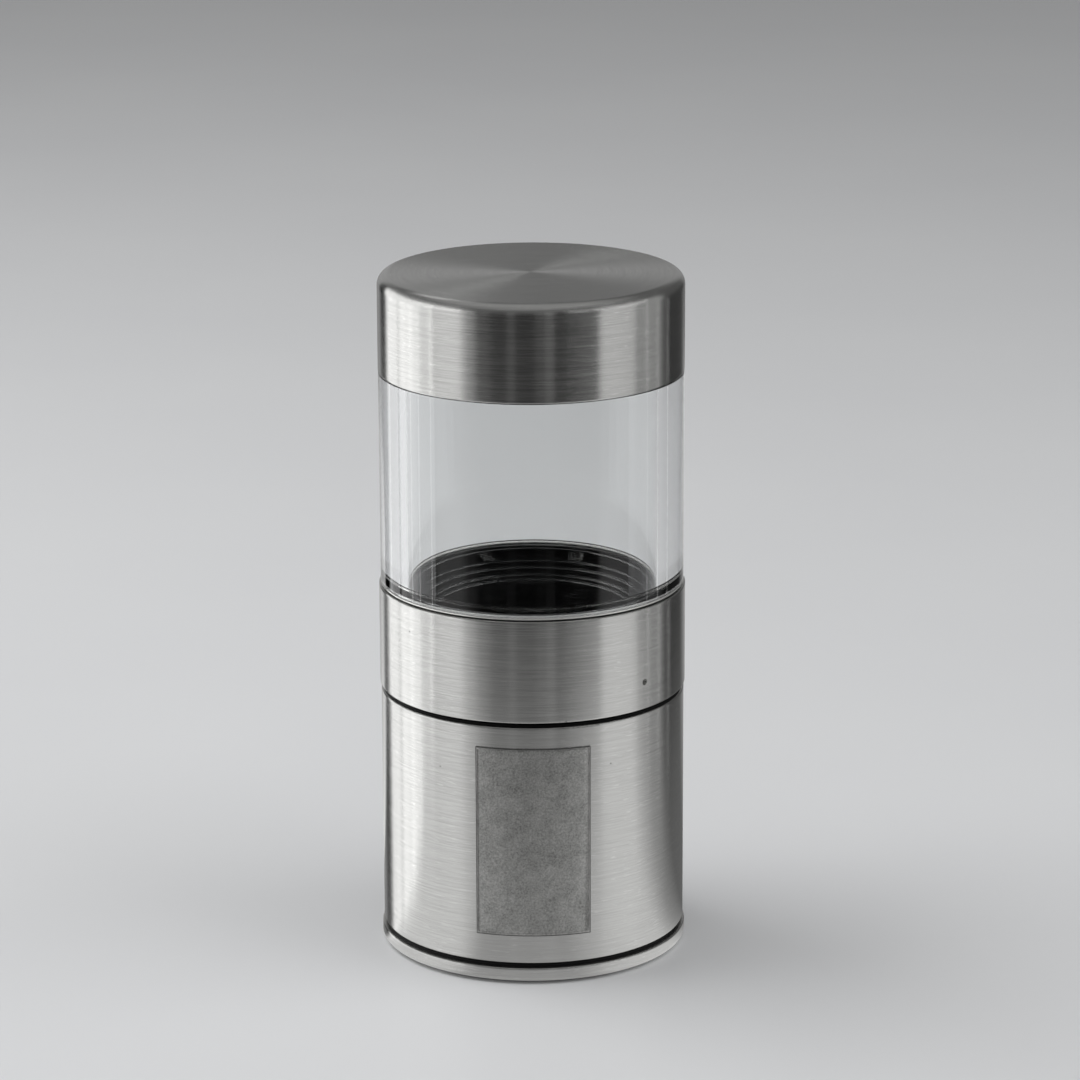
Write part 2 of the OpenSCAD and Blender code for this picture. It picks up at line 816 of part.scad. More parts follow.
module switch_leads() {
    color("royalblue") rotate([0, 0, switch_angle]) for (side = [-1, 1])
        translate([switch_lead_r, side * switch_lead_x, 0]) disc(lead_r, z_board_top, z_plate - switch_h);
}

// ---- cells, cradle and board ----

module cell_at(angle) {
    color("seagreen") polar(cell_r, angle) difference() {
        disc(cell_d / 2, z_cell, z_cell_top);
        tube(cell_d, button_r, z_cell_top - button_h, z_cell_top + 1);
    }
}

module cell_rear_right() { cell_at(cell_angles[0]); }
module cell_rear_left() { cell_at(cell_angles[1]); }
module cell_front_left() { cell_at(cell_angles[2]); }
module cell_front_right() { cell_at(cell_angles[3]); }

module cell_straps() {
    color("lightgray") {
        for (a = [90, 270]) sector(strap_out, strap_top_in, a, strap_span, z_cell_top, z_cell_top + strap_t);
        sector(strap_out, strap_in, 180, strap_span, z_cradle_top, z_cell);
        for (a = [cell_angles[0], cell_angles[3]])
            sector(strap_out, strap_in, a, tab_span, z_cradle_top, z_cell);
    }
}

module cell_leads() {
    color("firebrick") for (a = [cell_angles[0], cell_angles[3]])
        polar((strap_in + strap_out) / 2, a) disc(lead_r, z_board_top, z_cradle_top);
}

module cell_cradle() {
    cup_ri = cell_d / 2 + slip_fit;
    color("dimgray") difference() {
        union() {
            disc(cradle_r, z_cradle, z_cradle_top);
            for (a = cell_angles) polar(cell_r, a) disc(cup_ri + cell_wall, z_cradle, z_cradle_top + cell_cup_h);
            for (a = post_angles) polar(post_r, a) disc(boss_r, z_cap + cap_boss_h, z_post_top);
            for (a = stake_angles) polar(stake_r, a) {
                disc(stake_shoulder_r, z_board_top, z_cradle + eps);
                disc(stake_pin_r, z_board - move_gap - 2 * slip_fit, z_cradle + eps);
            }
        }
        for (a = cell_angles) polar(cell_r, a) disc(cup_ri, z_cradle_top, z_cell_top);
        // the strap that joins the two left cells lies in this channel
        sector(strap_out + slip_fit, strap_in - slip_fit, 180, strap_span, z_cradle_top, z_cell + 1);
        for (a = post_angles) polar(post_r, a) {
            disc(screw_hole_r, z_cap, z_cap + cap_boss_h + deck_screw_bite);
            disc(screw_hole_r, z_post_top - deck_screw_bite, z_post_top + 1);
        }
        disc(motor_r + cradle_bay, z_cradle_top + move_gap, z_post_top);
        for (side = [-1, 1]) translate([side * terminal_x, 0, 0])
            disc(lead_r + lead_gap, z_cradle - 1, z_cradle_top + 1);
        for (a = [cell_angles[0], cell_angles[3]]) polar((strap_in + strap_out) / 2, a)
            disc(lead_r + lead_gap, z_cradle - 1, z_cradle_top + 1);
        rotate([0, 0, switch_angle]) for (side = [-1, 1])
            translate([switch_lead_r, side * switch_lead_x, 0])
                disc(lead_r + lead_gap, z_cradle - 1, z_cradle_top + 1);
        // room for the port's bezel
        translate([-port_w / 2 - bezel_ear - move_gap, usb_face_y - move_gap, z_port])
            cube([port_w + 2 * (bezel_ear + move_gap), body_r, port_h / 2 + move_gap]);
    }
}

module control_board() {
    color("darkgreen") difference() {
        disc(board_r, z_board, z_board_top);
        for (a = post_angles) polar(post_r, a) disc(boss_r + move_gap, z_board - 1, z_board_top + 1);
        for (a = stake_angles) polar(stake_r, a) disc(stake_pin_r + slip_fit, z_board - 1, z_board_top + 1);
    }
    color("black") for (c = chips)
        translate([c[0], c[1], z_board_top - eps]) cube([c[2], c[3], chip_h]);
}

module usb_socket() {
    color("silver") difference() {
        stadium_bar(usb_w, usb_h, usb_face_y - usb_l, usb_face_y, z_port);
        stadium_bar(usb_w - 2 * usb_wall, usb_h - 2 * usb_wall, usb_face_y - usb_l + 1, usb_face_y + 1, z_port);
    }
    color("black") translate([-usb_tongue_w / 2, usb_face_y - usb_l + 0.5, z_port - usb_tongue_t / 2])
        cube([usb_tongue_w, usb_l - 1.2, usb_tongue_t]);
}

module port_bezel() {
    y_floor = cover_floor_y();
    color("black") difference() {
        intersection() {
            union() {
                stadium_bar(port_w - 2 * port_gap, port_h - 2 * port_gap, usb_face_y + slip_fit, body_r + 1, z_port);
                intersection() {
                    stadium_bar(port_w + 2 * bezel_ear, port_h - 2 * port_gap, usb_face_y + slip_fit, body_r, z_port);
                    disc(body_ri - slip_fit, z_port - port_h, z_port + port_h);
                }
            }
            disc(body_r, z_port - port_h, z_port + port_h);
        }
        stadium_bar(cover_w + 2 * cover_gap, cover_h + 2 * cover_gap, y_floor, body_r + 2, z_port);
        stadium_bar(usb_w - usb_window, usb_h - usb_window, usb_face_y - 1, body_r + 2, z_port);
    }
}

// Y of the floor of the cover's recess: the cover's thickness in from the face at its edges
function cover_floor_y() = sqrt(cover_face_r * cover_face_r - cover_w * cover_w / 4) - cover_t + cover_sink;

module port_cover() {
    y_back = cover_floor_y() + slip_fit;
    color("dimgray") intersection() {
        stadium_bar(cover_w, cover_h, y_back, body_r + 1, z_port);
        disc(cover_face_r, z_port - port_h, z_port + port_h);
    }
}

module charge_light() {
    color("white") intersection() {
        radial_bar(light_r, light_angle, body_ri - 4, body_r + 1, z_port);
        disc(body_r - slip_fit, z_port - port_h, z_port + port_h);
    }
}

// ---- body and base ----

module body_shell() {
    color("silver") difference() {
        tube(body_r, body_ri, z_body, z_body_top);
        stadium_bar(port_w, port_h, body_ri - 2, body_r + 2, z_port);
        radial_bar(light_r + slip_fit, light_angle, body_ri - 1, body_r + 1, z_port);
    }
}

module name_plate() {
    span = plate_w / body_r * 180 / PI;
    color("darkgray") sector(body_r + plate_t, body_r, 270, span, z_body + plate_lift, z_body_top - plate_drop);
}

module base_gasket() {
    color("black") tube(body_r - gasket_inset, base_r - cap_land + gasket_land, z_cap_top, z_body);
}

module base_cap() {
    pocket_r = base_r - cap_land;
    foot_r = base_r - foot_inset;
    color("silver") difference() {
        union() {
            rotate_extrude() polygon(concat(
                [[0, z_cap]],
                arc_points(base_r - cap_round, z_cap + cap_round, cap_round, -90, 0),
                [[base_r, z_cap_top - cap_lip], [base_r - cap_lip, z_cap_top], [pocket_r, z_cap_top],
                 [pocket_r, z_cap + cap_floor_t], [0, z_cap + cap_floor_t]]
            ));
            for (a = post_angles) polar(post_r, a) disc(cap_boss_r, z_cap, z_cap + cap_boss_h);
        }
        tube(foot_r, foot_r - foot_w, z_cap - 1, z_cap + foot_sink);
        for (a = post_angles) polar(post_r, a) {
            disc(screw_pass_r, z_cap - 1, z_cap + cap_boss_h + 1);
            disc(head_pocket_r, z_cap - 1, z_cap + screw_head_h + head_sink);
        }
    }
}

module foot_ring() {
    r = base_r - foot_inset - slip_fit;
    color("black") tube(r, r - foot_w + 2 * slip_fit, 0, z_cap + foot_sink);
}

// ---- fasteners ----

module bowl_screws() {
    color("gray") for (a = bowl_screw_angles) polar(bowl_screw_r, a) screw_up(z_plate, screw_bite + deck_plate_t - thread_clear);
}

module deck_screws() {
    z_head = z_seat - screw_head_h - slip_fit;
    color("gray") for (a = post_angles) polar(post_r, a)
        screw_down(z_head, z_head - z_post_top + deck_screw_bite - thread_clear);
}

module motor_screws() {
    z_head = z_seat - screw_head_h - slip_fit;
    color("gray") for (side = [-1, 1]) translate([side * motor_screw_r, 0, 0])
        screw_down(z_head, z_head - z_motor_top + can_top_t);
}

module base_screws() {
    z_head = z_cap + screw_head_h + head_sink;
    color("gray") for (a = post_angles) polar(post_r, a)
        screw_up(z_head, cap_boss_h - screw_head_h - head_sink + deck_screw_bite - thread_clear);
}

lid_shell();
lid_liner();
lid_seal();
clear_cup();
cup_trim_ring();
cup_seal();
run_ring_sleeve();
ring_carrier();
ring_drag_seal();
grinding_bowl();
shaft_seal();
motor_deck();
blade();
blade_hub();
blade_nut();
rotor_shaft();
armature_core();
armature_windings();
commutator();
motor_can();
motor_magnets();
motor_end_bell();
upper_bush();
lower_bush();
motor_brushes();
motor_terminals();
motor_leads();
run_switch();
switch_plunger();
switch_leads();
cell_cradle();
cell_rear_right();
cell_rear_left();
cell_front_left();
cell_front_right();
cell_straps();
cell_leads();
control_board();
usb_socket();
port_bezel();
port_cover();
charge_light();
body_shell();
name_plate();
base_gasket();
base_cap();
foot_ring();
bowl_screws();
deck_screws();
motor_screws();
base_screws();
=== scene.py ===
from functools import partial
from math import atan2, cos, pi, radians, sin, sqrt, tan

import bmesh
import bpy
from mathutils import Matrix, Vector


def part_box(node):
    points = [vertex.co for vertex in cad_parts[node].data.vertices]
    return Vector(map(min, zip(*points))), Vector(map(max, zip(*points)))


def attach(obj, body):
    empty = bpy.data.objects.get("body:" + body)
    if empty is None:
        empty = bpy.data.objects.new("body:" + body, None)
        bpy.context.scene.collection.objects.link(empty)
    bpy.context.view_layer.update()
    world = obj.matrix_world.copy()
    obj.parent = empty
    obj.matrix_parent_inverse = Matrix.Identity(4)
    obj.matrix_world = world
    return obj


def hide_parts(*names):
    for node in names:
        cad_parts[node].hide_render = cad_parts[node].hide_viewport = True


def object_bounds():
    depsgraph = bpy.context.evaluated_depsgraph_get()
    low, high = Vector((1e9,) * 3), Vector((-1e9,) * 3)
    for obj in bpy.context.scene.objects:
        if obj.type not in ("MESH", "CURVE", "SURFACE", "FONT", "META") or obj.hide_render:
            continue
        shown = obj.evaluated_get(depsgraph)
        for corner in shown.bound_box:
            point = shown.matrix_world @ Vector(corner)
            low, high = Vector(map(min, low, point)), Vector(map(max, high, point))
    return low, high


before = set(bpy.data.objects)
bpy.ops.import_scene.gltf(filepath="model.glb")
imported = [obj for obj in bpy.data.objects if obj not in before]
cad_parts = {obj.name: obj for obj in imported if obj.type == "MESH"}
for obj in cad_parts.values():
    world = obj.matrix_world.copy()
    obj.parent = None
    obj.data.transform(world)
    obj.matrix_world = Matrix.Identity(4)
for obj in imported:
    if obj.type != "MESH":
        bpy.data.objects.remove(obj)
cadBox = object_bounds()
mm = 0.001

roundSides = 192    # faces round a full turn on the big rings
poleRadius = 0.05 * mm    # a turned form that reaches the axis starts here, then closes to a point
smoothAngle = radians(35)


# small helpers

def editAll(action="SELECT"):
    bpy.ops.object.mode_set(mode="EDIT")
    bpy.ops.mesh.select_all(action=action)


def leaveEdit():
    bpy.ops.object.mode_set(mode="OBJECT")


def deselectAll():
    if bpy.context.object and bpy.context.object.mode != "OBJECT":
        leaveEdit()
    bpy.ops.object.select_all(action="DESELECT")


def pickOnly(piece):
    deselectAll()
    piece.select_set(True)
    bpy.context.view_layer.objects.active = piece


def nameNewest(name):
    piece = bpy.context.object    # the primitive that was just added
    piece.name = piece.data.name = name
    return piece


def hexToLinear(code, shade=1.0):
    # an sRGB hex colour as linear light, darkened to a share of itself
    channels = [int(code[i:i + 2], 16) / 255 for i in (1, 3, 5)]
    linear = [c / 12.92 if c <= 0.04045 else ((c + 0.055) / 1.055) ** 2.4 for c in channels]
    return (*[shade * c for c in linear], 1.0)


def addNode(tree, kind, settings=None, links=None):
    # settings are properties, and input values by name or number; links join an input to an output socket, or to
    # the first output of a node
    node = tree.nodes.new("ShaderNode" + kind)
    for key, value in (settings or {}).items():
        if isinstance(key, int) or key in node.inputs:
            node.inputs[key].default_value = value
        else:
            setattr(node, key, value)
    for key, source in (links or {}).items():
        tree.links.new(source.outputs[0] if hasattr(source, "outputs") else source, node.inputs[key])
    return node


def emptyTree(owner):
    # clears the nodes of a material or world, and returns what adds a node there
    owner.use_nodes = True
    owner.node_tree.nodes.clear()
    return partial(addNode, owner.node_tree)


def newMaterial(name):
    # an empty material, what adds a node to it, and the Object coordinates that its patterns read
    material = bpy.data.materials.new(name)
    add = emptyTree(material)
    return material, add, add("TexCoord").outputs["Object"]


def applyModifiers(piece):
    pickOnly(piece)
    for modifier in list(piece.modifiers):
        bpy.ops.object.modifier_apply(modifier=modifier.name)


def cutAway(piece, cutter, operation="DIFFERENCE"):
    cut = piece.modifiers.new("cut", "BOOLEAN")
    cut.operation, cut.solver, cut.object = operation, "EXACT", cutter
    applyModifiers(piece)
    bpy.data.objects.remove(cutter)


def outward(angle, radius, height):
    # lays a piece that was made along Z out along the radius at this angle from +X
    direction = Vector((cos(radians(angle)), sin(radians(angle)), 0))
    return Matrix.Translation(direction * radius + Vector((0, 0, height))) @ \
        direction.to_track_quat("Z", "Y").to_matrix().to_4x4()


def drillInward(piece, holeRadius, depth, angle, radius, height, sides):
    deselectAll()
    bpy.ops.mesh.primitive_cylinder_add(vertices=sides, radius=holeRadius, depth=depth)
    drill = bpy.context.object
    drill.matrix_world = outward(angle, radius, height)
    cutAway(piece, drill)


def finishMesh(piece):
    pickOnly(piece)
    bpy.ops.object.transform_apply()
    editAll()
    bpy.ops.mesh.remove_doubles(threshold=1e-7)
    bpy.ops.mesh.normals_make_consistent(inside=False)
    leaveEdit()
    bpy.ops.object.shade_smooth_by_angle(angle=smoothAngle)


def closePole(piece, height):
    # joins the small ring left at the axis, at this height, into one point
    pickOnly(piece)
    editAll("DESELECT")
    mesh = bmesh.from_edit_mesh(piece.data)
    for vertex in mesh.verts:
        vertex.select = vertex.co.xy.length < 2 * poleRadius and abs(vertex.co.z - height) < 1e-6
    mesh.select_flush_mode()
    bmesh.update_edit_mesh(piece.data)
    bpy.ops.mesh.merge(type="CENTER")
    leaveEdit()


def heldOutline(outline, closed, longest=1.2 * mm, hold=0.12 * mm):
    # a short face at each end of a long wall, so that smooth shading stays flat between the corners
    held = []
    ends = list(zip(outline, outline[1:] + ([outline[0]] if closed else [])))
    for (r0, z0), (r1, z1) in ends:
        held.append((r0, z0))
        length = sqrt((r1 - r0) ** 2 + (z1 - z0) ** 2)
        if length > longest:
            for share in (hold / length, 1 - hold / length):
                held.append((r0 + share * (r1 - r0), z0 + share * (z1 - z0)))
    return held if closed else held + [outline[-1]]


def turnedPiece(name, outline, closed=True, sides=roundSides):
    # a lathe form: a circle extruded and scaled ring by ring along (radius, height) pairs in metres;
    # an outline that isn't closed starts and ends at the axis
    outline = heldOutline(outline, closed)
    deselectAll()
    radius, height = outline[0]
    bpy.ops.mesh.primitive_circle_add(vertices=sides, radius=radius, location=(0, 0, 0))
    piece = nameNewest(name)
    editAll()
    bpy.ops.transform.translate(value=(0, 0, height))
    for nextRadius, nextHeight in outline[1:] + ([outline[0]] if closed else []):
        bpy.ops.mesh.extrude_edges_move(TRANSFORM_OT_translate={"value": (0, 0, nextHeight - height)})
        factor = nextRadius / radius
        if abs(factor - 1) > 1e-9:
            bpy.ops.transform.resize(value=(factor, factor, 1), center_override=(0, 0, nextHeight))
        radius, height = nextRadius, nextHeight
    bpy.ops.mesh.select_all(action="SELECT")
    bpy.ops.mesh.remove_doubles(threshold=1e-6)
    leaveEdit()
    if not closed:
        closePole(piece, outline[0][1])
        closePole(piece, outline[-1][1])
    finishMesh(piece)
    return piece


def arc(centreR, centreZ, radius, start, end, steps=8):
    turns = [radians(start + (end - start) * i / steps) for i in range(steps + 1)]
    return [(centreR + radius * cos(t), centreZ + radius * sin(t)) for t in turns]


def tubeOutline(size, wall, edge, steps):
    # a plain tube with its two outer edges rounded
    corner, inner = size["r"] - edge, size["r"] - wall
    return ([(inner, size["bottom"])] + arc(corner, size["bottom"] + edge, edge, -90, 0, steps)
            + arc(corner, size["top"] - edge, edge, 0, 90, steps) + [(inner, size["top"])])


def dress(piece, body, material, slot, *replaced):
    piece.data.materials.clear()
    piece.data.materials.append(material)
    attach(piece, body)
    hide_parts(*replaced)


# materials

steelSettings = {
    "colour": "#d6d6d4", "darkStreak": "#c6c6c4",    # 304 stainless under soft white light
    "roughness": (0.22, 0.265),    # brighter between the scratches, dull where the belt has cut deep
    "anisotropy": 0.975,
    "grain": (0.34, 0.64),    # the part of the noise that is spread over colour and roughness
    "fineLength": 9 * mm, "finePitch": 0.13 * mm,    # belt scratches, drawn a little coarse to show
    "coarseLength": 22 * mm, "coarsePitch": 0.4 * mm, "coarseShare": 0.25,
    "grooveDepth": 0.0013 * mm, "waver": 0.011,    # each scratch leans a little, so bands fray at their edges
    "nick": "#e6e6e4", "nickLength": 1.8 * mm, "nickPitch": 0.2 * mm, "nickFrom": 0.715, "nickTo": 0.775,
    "nickShare": 0.45,
    "pit": "#6e6e6c", "pitSpacing": 5.2 * mm, "pitSize": 0.024, "pitDepth": 0.012 * mm,
}


def streaks(add, parts, across, length, pitch, detail, seed):
    # long thin noise: length along the grain and pitch across it, in metres
    scales = ((parts.outputs["X"], 1 / length), (parts.outputs["Y"], 1 / length), (across, 1 / pitch))
    scaled = [add("Math", {"operation": "MULTIPLY_ADD", 1: scale, 2: seed}, {0: source}) for source, scale in scales]
    place = add("CombineXYZ", links=dict(enumerate(scaled)))
    return add("TexNoise", {"Scale": 1.0, "Detail": detail, "Roughness": 0.6}, {"Vector": place})


def brushedSteel(name):
    # belt-brushed stainless steel: grain runs round the piece, so highlights smear up and down into bands
    s = steelSettings
    material, add, place = newMaterial(name)
    # across runs up the wall or out over a flat top; x and y close the pattern round the axis
    parts = add("SeparateXYZ", links={0: place})
    flat = add("CombineXYZ", links={0: parts.outputs["X"], 1: parts.outputs["Y"]})
    radius = add("VectorMath", {"operation": "LENGTH"}, {0: flat})
    across = add("Math", {"operation": "SUBTRACT"}, {0: parts.outputs["Z"], 1: radius.outputs["Value"]})
    fine = streaks(add, parts, across, s["fineLength"], s["finePitch"], 2.0, 1.3)
    coarse = streaks(add, parts, across, s["coarseLength"], s["coarsePitch"], 2.0, 7.7)
    quiet = add("Math", {"operation": "MULTIPLY", 1: s["coarseShare"]}, {0: coarse})
    grain = add("Math", {"operation": "MULTIPLY_ADD", 1: 1 - s["coarseShare"]}, {0: fine, 2: quiet})
    clear = add("MapRange", {"From Min": s["grain"][0], "From Max": s["grain"][1]}, {"Value": grain})
    colour = add("Mix", {"data_type": "RGBA", 6: hexToLinear(s["darkStreak"]), 7: hexToLinear(s["colour"])},
                 {0: clear})
    # a few short pale scratches and small pits, as thin steel gets in handling
    nicks = streaks(add, parts, across, s["nickLength"], s["nickPitch"], 0.0, 21.4)
    nick = add("MapRange", {"From Min": s["nickFrom"], "From Max": s["nickTo"], "To Max": s["nickShare"]},
               {"Value": nicks})
    nicked = add("Mix", {"data_type": "RGBA", 7: hexToLinear(s["nick"])}, {0: nick, 6: colour.outputs[2]})
    pits = add("TexVoronoi", {"Scale": 1 / s["pitSpacing"], "Randomness": 1.0}, {"Vector": place})
    pit = add("Math", {"operation": "LESS_THAN", 1: s["pitSize"]}, {0: pits})
    pitted = add("Mix", {"data_type": "RGBA", 7: hexToLinear(s["pit"])}, {0: pit, 6: nicked.outputs[2]})
    height = add("Math", {"operation": "MULTIPLY_ADD", 1: -s["pitDepth"] / s["grooveDepth"]}, {0: pit, 2: grain})
    bump = add("Bump", {"Strength": 1.0, "Distance": s["grooveDepth"]}, {"Height": height})
    tangent = add("Tangent", {"direction_type": "RADIAL", "axis": "Z"})
    leans = streaks(add, parts, across, 1.6 * s["fineLength"], 1.3 * s["finePitch"], 1.0, 33.0)
    leanBy = add("Math", {"operation": "MULTIPLY_ADD", 1: s["waver"], 2: -s["waver"] / 2}, {0: leans})
    sideways = add("VectorMath", {"operation": "SCALE"}, {0: tangent, "Scale": leanBy})
    leaning = add("VectorMath", {"operation": "ADD"}, {0: bump, 1: sideways})
    normal = add("VectorMath", {"operation": "NORMALIZE"}, {0: leaning})
    low, high = s["roughness"]
    gloss = add("Math", {"operation": "MULTIPLY_ADD", 1: high - low, 2: low}, {0: clear})
    shader = add("BsdfPrincipled", {"Metallic": 1.0, "Anisotropic": s["anisotropy"], "Anisotropic Rotation": 0.25},
                 {"Base Color": pitted.outputs[2], "Roughness": gloss, "Normal": normal, "Tangent": tangent})
    add("OutputMaterial", links={"Surface": shader})
    return material


def finishMaterial(material, add, dark, pale, share, dents, height, settings, links=None, shade=1.0):
    # how most materials end: a dark and a pale colour mixed by a share, dents of a strength and depth, the shader
    tone = add("Mix", {"data_type": "RGBA", 6: hexToLinear(dark, shade), 7: hexToLinear(pale)}, {0: share})
    bump = add("Bump", {"Strength": dents[0], "Distance": dents[1]}, {"Height": height})
    shader = add("BsdfPrincipled", settings, {"Base Color": tone.outputs[2], "Normal": bump, **(links or {})})
    add("OutputMaterial", links={"Surface": shader})
    return material


blastedSettings = {"colour": "#d2d2d0", "dark": "#8c8c8a", "grit": 0.34 * mm, "gritShare": 0.35, "gritMost": 1.9,
                   "blotch": 2.6 * mm, "blotchMost": 0.33, "noise": (0.35, 0.65), "dent": 0.03 * mm,
                   "roughness": (0.42, 0.56)}


def blastedSteel():
    # bead-blasted steel: fine round dents scatter the light, so the plate is flat grey beside the brushed wall
    s = blastedSettings
    material, add, place = newMaterial("beadBlastedSteel")
    grit = add("TexNoise", {"Scale": 1 / s["grit"], "Detail": 3.0, "Roughness": 0.7}, {"Vector": place})
    blotch = add("TexNoise", {"Scale": 1 / s["blotch"], "Detail": 5.0, "Roughness": 0.6}, {"Vector": place})
    low, high = s["noise"]
    gritty, blotchy = [add("MapRange", {"From Min": low, "From Max": high, "To Max": most}, {"Value": noise})
                       for noise, most in ((grit, s["gritMost"]), (blotch, s["blotchMost"]))]
    mixed = add("Math", {"operation": "MULTIPLY_ADD", 1: s["gritShare"]}, {0: gritty, 2: blotchy})
    low, high = s["roughness"]
    gloss = add("MapRange", {"To Min": low, "To Max": high}, {"Value": mixed})
    return finishMaterial(material, add, s["dark"], s["colour"], mixed, (0.8, s["dent"]), grit,
                          {"Metallic": 1.0}, {"Roughness": gloss})


noiseMiddle = (0.3, 0.7)    # the part of a noise that is spread over the whole of a colour or gloss change
plasticSettings = {"flow": 9 * mm, "gloss": (-0.04, 0.05), "strength": 0.6}
metalSettings = {"shade": 0.8, "gloss": (-0.05, 0.06), "strength": 0.5}


def unevenGloss(add, noise, roughness, change):
    # a noise cleared to its middle, and a roughness that changes with it by these amounts
    clear = add("MapRange", {"From Min": noiseMiddle[0], "From Max": noiseMiddle[1]}, {"Value": noise})
    return clear, add("MapRange", {"To Min": roughness + change[0], "To Max": roughness + change[1]},
                      {"Value": clear})


def mouldedPlastic(name, colour, roughness, grit=0.25 * mm, dent=0.004 * mm, shade=0.75, gloss=0.5):
    # injection-moulded plastic: a faint orange-peel from the tool and slow gloss changes
    s = plasticSettings
    material, add, place = newMaterial(name)
    peel = add("TexNoise", {"Scale": 1 / grit, "Detail": 2.0}, {"Vector": place})
    flow = add("TexNoise", {"Scale": 1 / s["flow"], "Detail": 3.0}, {"Vector": place})
    clear, uneven = unevenGloss(add, flow, roughness, s["gloss"])
    return finishMaterial(material, add, colour, colour, clear, (s["strength"], dent), peel,
                          {"IOR": 1.5, "Specular IOR Level": gloss}, {"Roughness": uneven}, shade)


def plainMetal(name, colour, roughness, grit=0.4 * mm, dent=0.003 * mm, metallic=1.0):
    # ground, drawn or plated metal: fine uneven gloss
    s = metalSettings
    material, add, place = newMaterial(name)
    grain = add("TexNoise", {"Scale": 1 / grit, "Detail": 4.0}, {"Vector": place})
    clear, uneven = unevenGloss(add, grain, roughness, s["gloss"])
    return finishMaterial(material, add, colour, colour, clear, (s["strength"], dent), grain,
                          {"Metallic": metallic}, {"Roughness": uneven}, s["shade"])


acrylicSettings = {"colour": "#fbfcfc", "ior": 1.49, "roughness": 0.004,
                   "linePitch": 1.1 * mm, "lineLong": 90 * mm, "line": 0.0035 * mm}


def clearAcrylic():
    # drawn acrylic tube: clear and polished, with faint upright draw lines that ripple what it mirrors
    s = acrylicSettings
    material, add, place = newMaterial("clearAcrylic")
    upright = add("VectorMath",
                  {"operation": "MULTIPLY", 1: (1 / s["linePitch"], 1 / s["linePitch"], 1 / s["lineLong"])},
                  {0: place})
    lines = add("TexNoise", {"Scale": 1.0, "Detail": 1.5, "Roughness": 0.5}, {"Vector": upright})
    bump = add("Bump", {"Strength": 1.0, "Distance": s["line"]}, {"Height": lines})
    shader = add("BsdfPrincipled",
                 {"Base Color": hexToLinear(s["colour"]), "IOR": s["ior"], "Transmission Weight": 1.0,
                  "Roughness": s["roughness"]}, {"Normal": bump})
    add("OutputMaterial", links={"Surface": shader})
    return material


def layeredMetal(name, colour, gap, pitch, roughness):
    # stacked sheets or wound wire: one dark line between layers, every pitch up the axis
    material, add, place = newMaterial(name)
    parts = add("SeparateXYZ", links={0: place})
    layer = add("Math", {"operation": "PINGPONG", 1: pitch / 2}, {0: parts.outputs["Z"]})
    ridge = add("MapRange", {"From Max": pitch / 4}, {"Value": layer})
    return finishMaterial(material, add, gap, colour, ridge, (0.7, pitch / 6), ridge,
                          {"Metallic": 1.0, "Roughness": roughness})


maskSettings = {"mask": "#0d4a26", "track": "#1d6b3b", "cloth": 0.9 * mm, "tracks": 2.4 * mm,
                "trackEdge": (0.42, 0.5), "weave": 0.01 * mm, "roughness": 0.28}


def solderMask():
    # glass-epoxy board under green solder mask: the weave of the glass cloth and paler copper tracks
    s = maskSettings
    material, add, place = newMaterial("greenSolderMask")
    tracks = add("TexVoronoi", {"Scale": 1 / s["tracks"], "distance": "MANHATTAN"}, {"Vector": place})
    cloth = add("TexNoise", {"Scale": 1 / s["cloth"]}, {"Vector": place})
    low, high = s["trackEdge"]
    edge = add("MapRange", {"From Min": low, "From Max": high}, {"Value": tracks})
    return finishMaterial(material, add, s["mask"], s["track"], edge, (0.4, s["weave"]), cloth,
                          {"Roughness": s["roughness"]})


steelSide = brushedSteel("brushedStainlessSteel")
steelLid = brushedSteel("spunStainlessSteel")
trimSteelPaintedSheen = plainMetal("polishedSteelPaintedSheen", "#efefec", 0.2, metallic=0.7)    # fine satin with a near-white diffuse share: a painted sheen that keeps the bead pale whatever it mirrors
steelPlate = blastedSteel()
etchedLine = plainMetal("etchedSteelLine", "#6a6a69", 0.5)    # acid-etched: dull and darker than the plate
steelBlade = plainMetal("groundBladeSteel", "#cfcfcd", 0.22)    # surface-ground: bright, a little cloudy
steelShaft = plainMetal("groundShaftSteel", "#c4c4c4", 0.14)    # turned and polished: sharp small highlights
acrylic = clearAcrylic()
bowlPlastic = mouldedPlastic("glossBlackAbs", "#040405", 0.05, dent=0.0004 * mm)    # polished tool: piano black
deckPlastic = mouldedPlastic("mattBlackAbs", "#040404", 0.6, gloss=0.15)    # sparked tool: no highlights
greyPlastic = mouldedPlastic("greyPolypropylene", "#5a5b5e", 0.42, shade=0.9)    # waxy, even grey
whitePlastic = mouldedPlastic("whiteAcetal", "#dcdbd6", 0.38, shade=0.95)    # slick off-white
rubber = mouldedPlastic("blackNitrileRubber", "#0b0b0c", 0.62, grit=0.12 * mm, dent=0.01 * mm, gloss=0.3)    # dull
silicone = mouldedPlastic("milkySilicone", "#c9c9c5", 0.48, shade=0.95)    # soft milky sheen
zincSteel = plainMetal("zincPlatedSteel", "#b9bcc0", 0.30)    # bright, slightly blue screws
motorSteel = plainMetal("nickelPlatedSteel", "#a9abad", 0.26)    # deep-drawn can, plated after drawing
bronzeBush = plainMetal("sinteredBronze", "#a07c45", 0.46, grit=0.14 * mm, dent=0.008 * mm)    # porous, dull gold
brassTerminal = plainMetal("stampedBrass", "#c9a55a", 0.24)    # rolled sheet: warm and fairly bright
nickelStrip = plainMetal("nickelStrip", "#bdbab2", 0.22)    # rolled strip: warm grey, bright
ferrite = mouldedPlastic("sinteredFerrite", "#2a2b2d", 0.72, grit=0.1 * mm, dent=0.01 * mm)    # dull, like dark stone
carbon = mouldedPlastic("pressedCarbon", "#17171a", 0.5, grit=0.08 * mm, dent=0.006 * mm)    # pencil-lead sheen
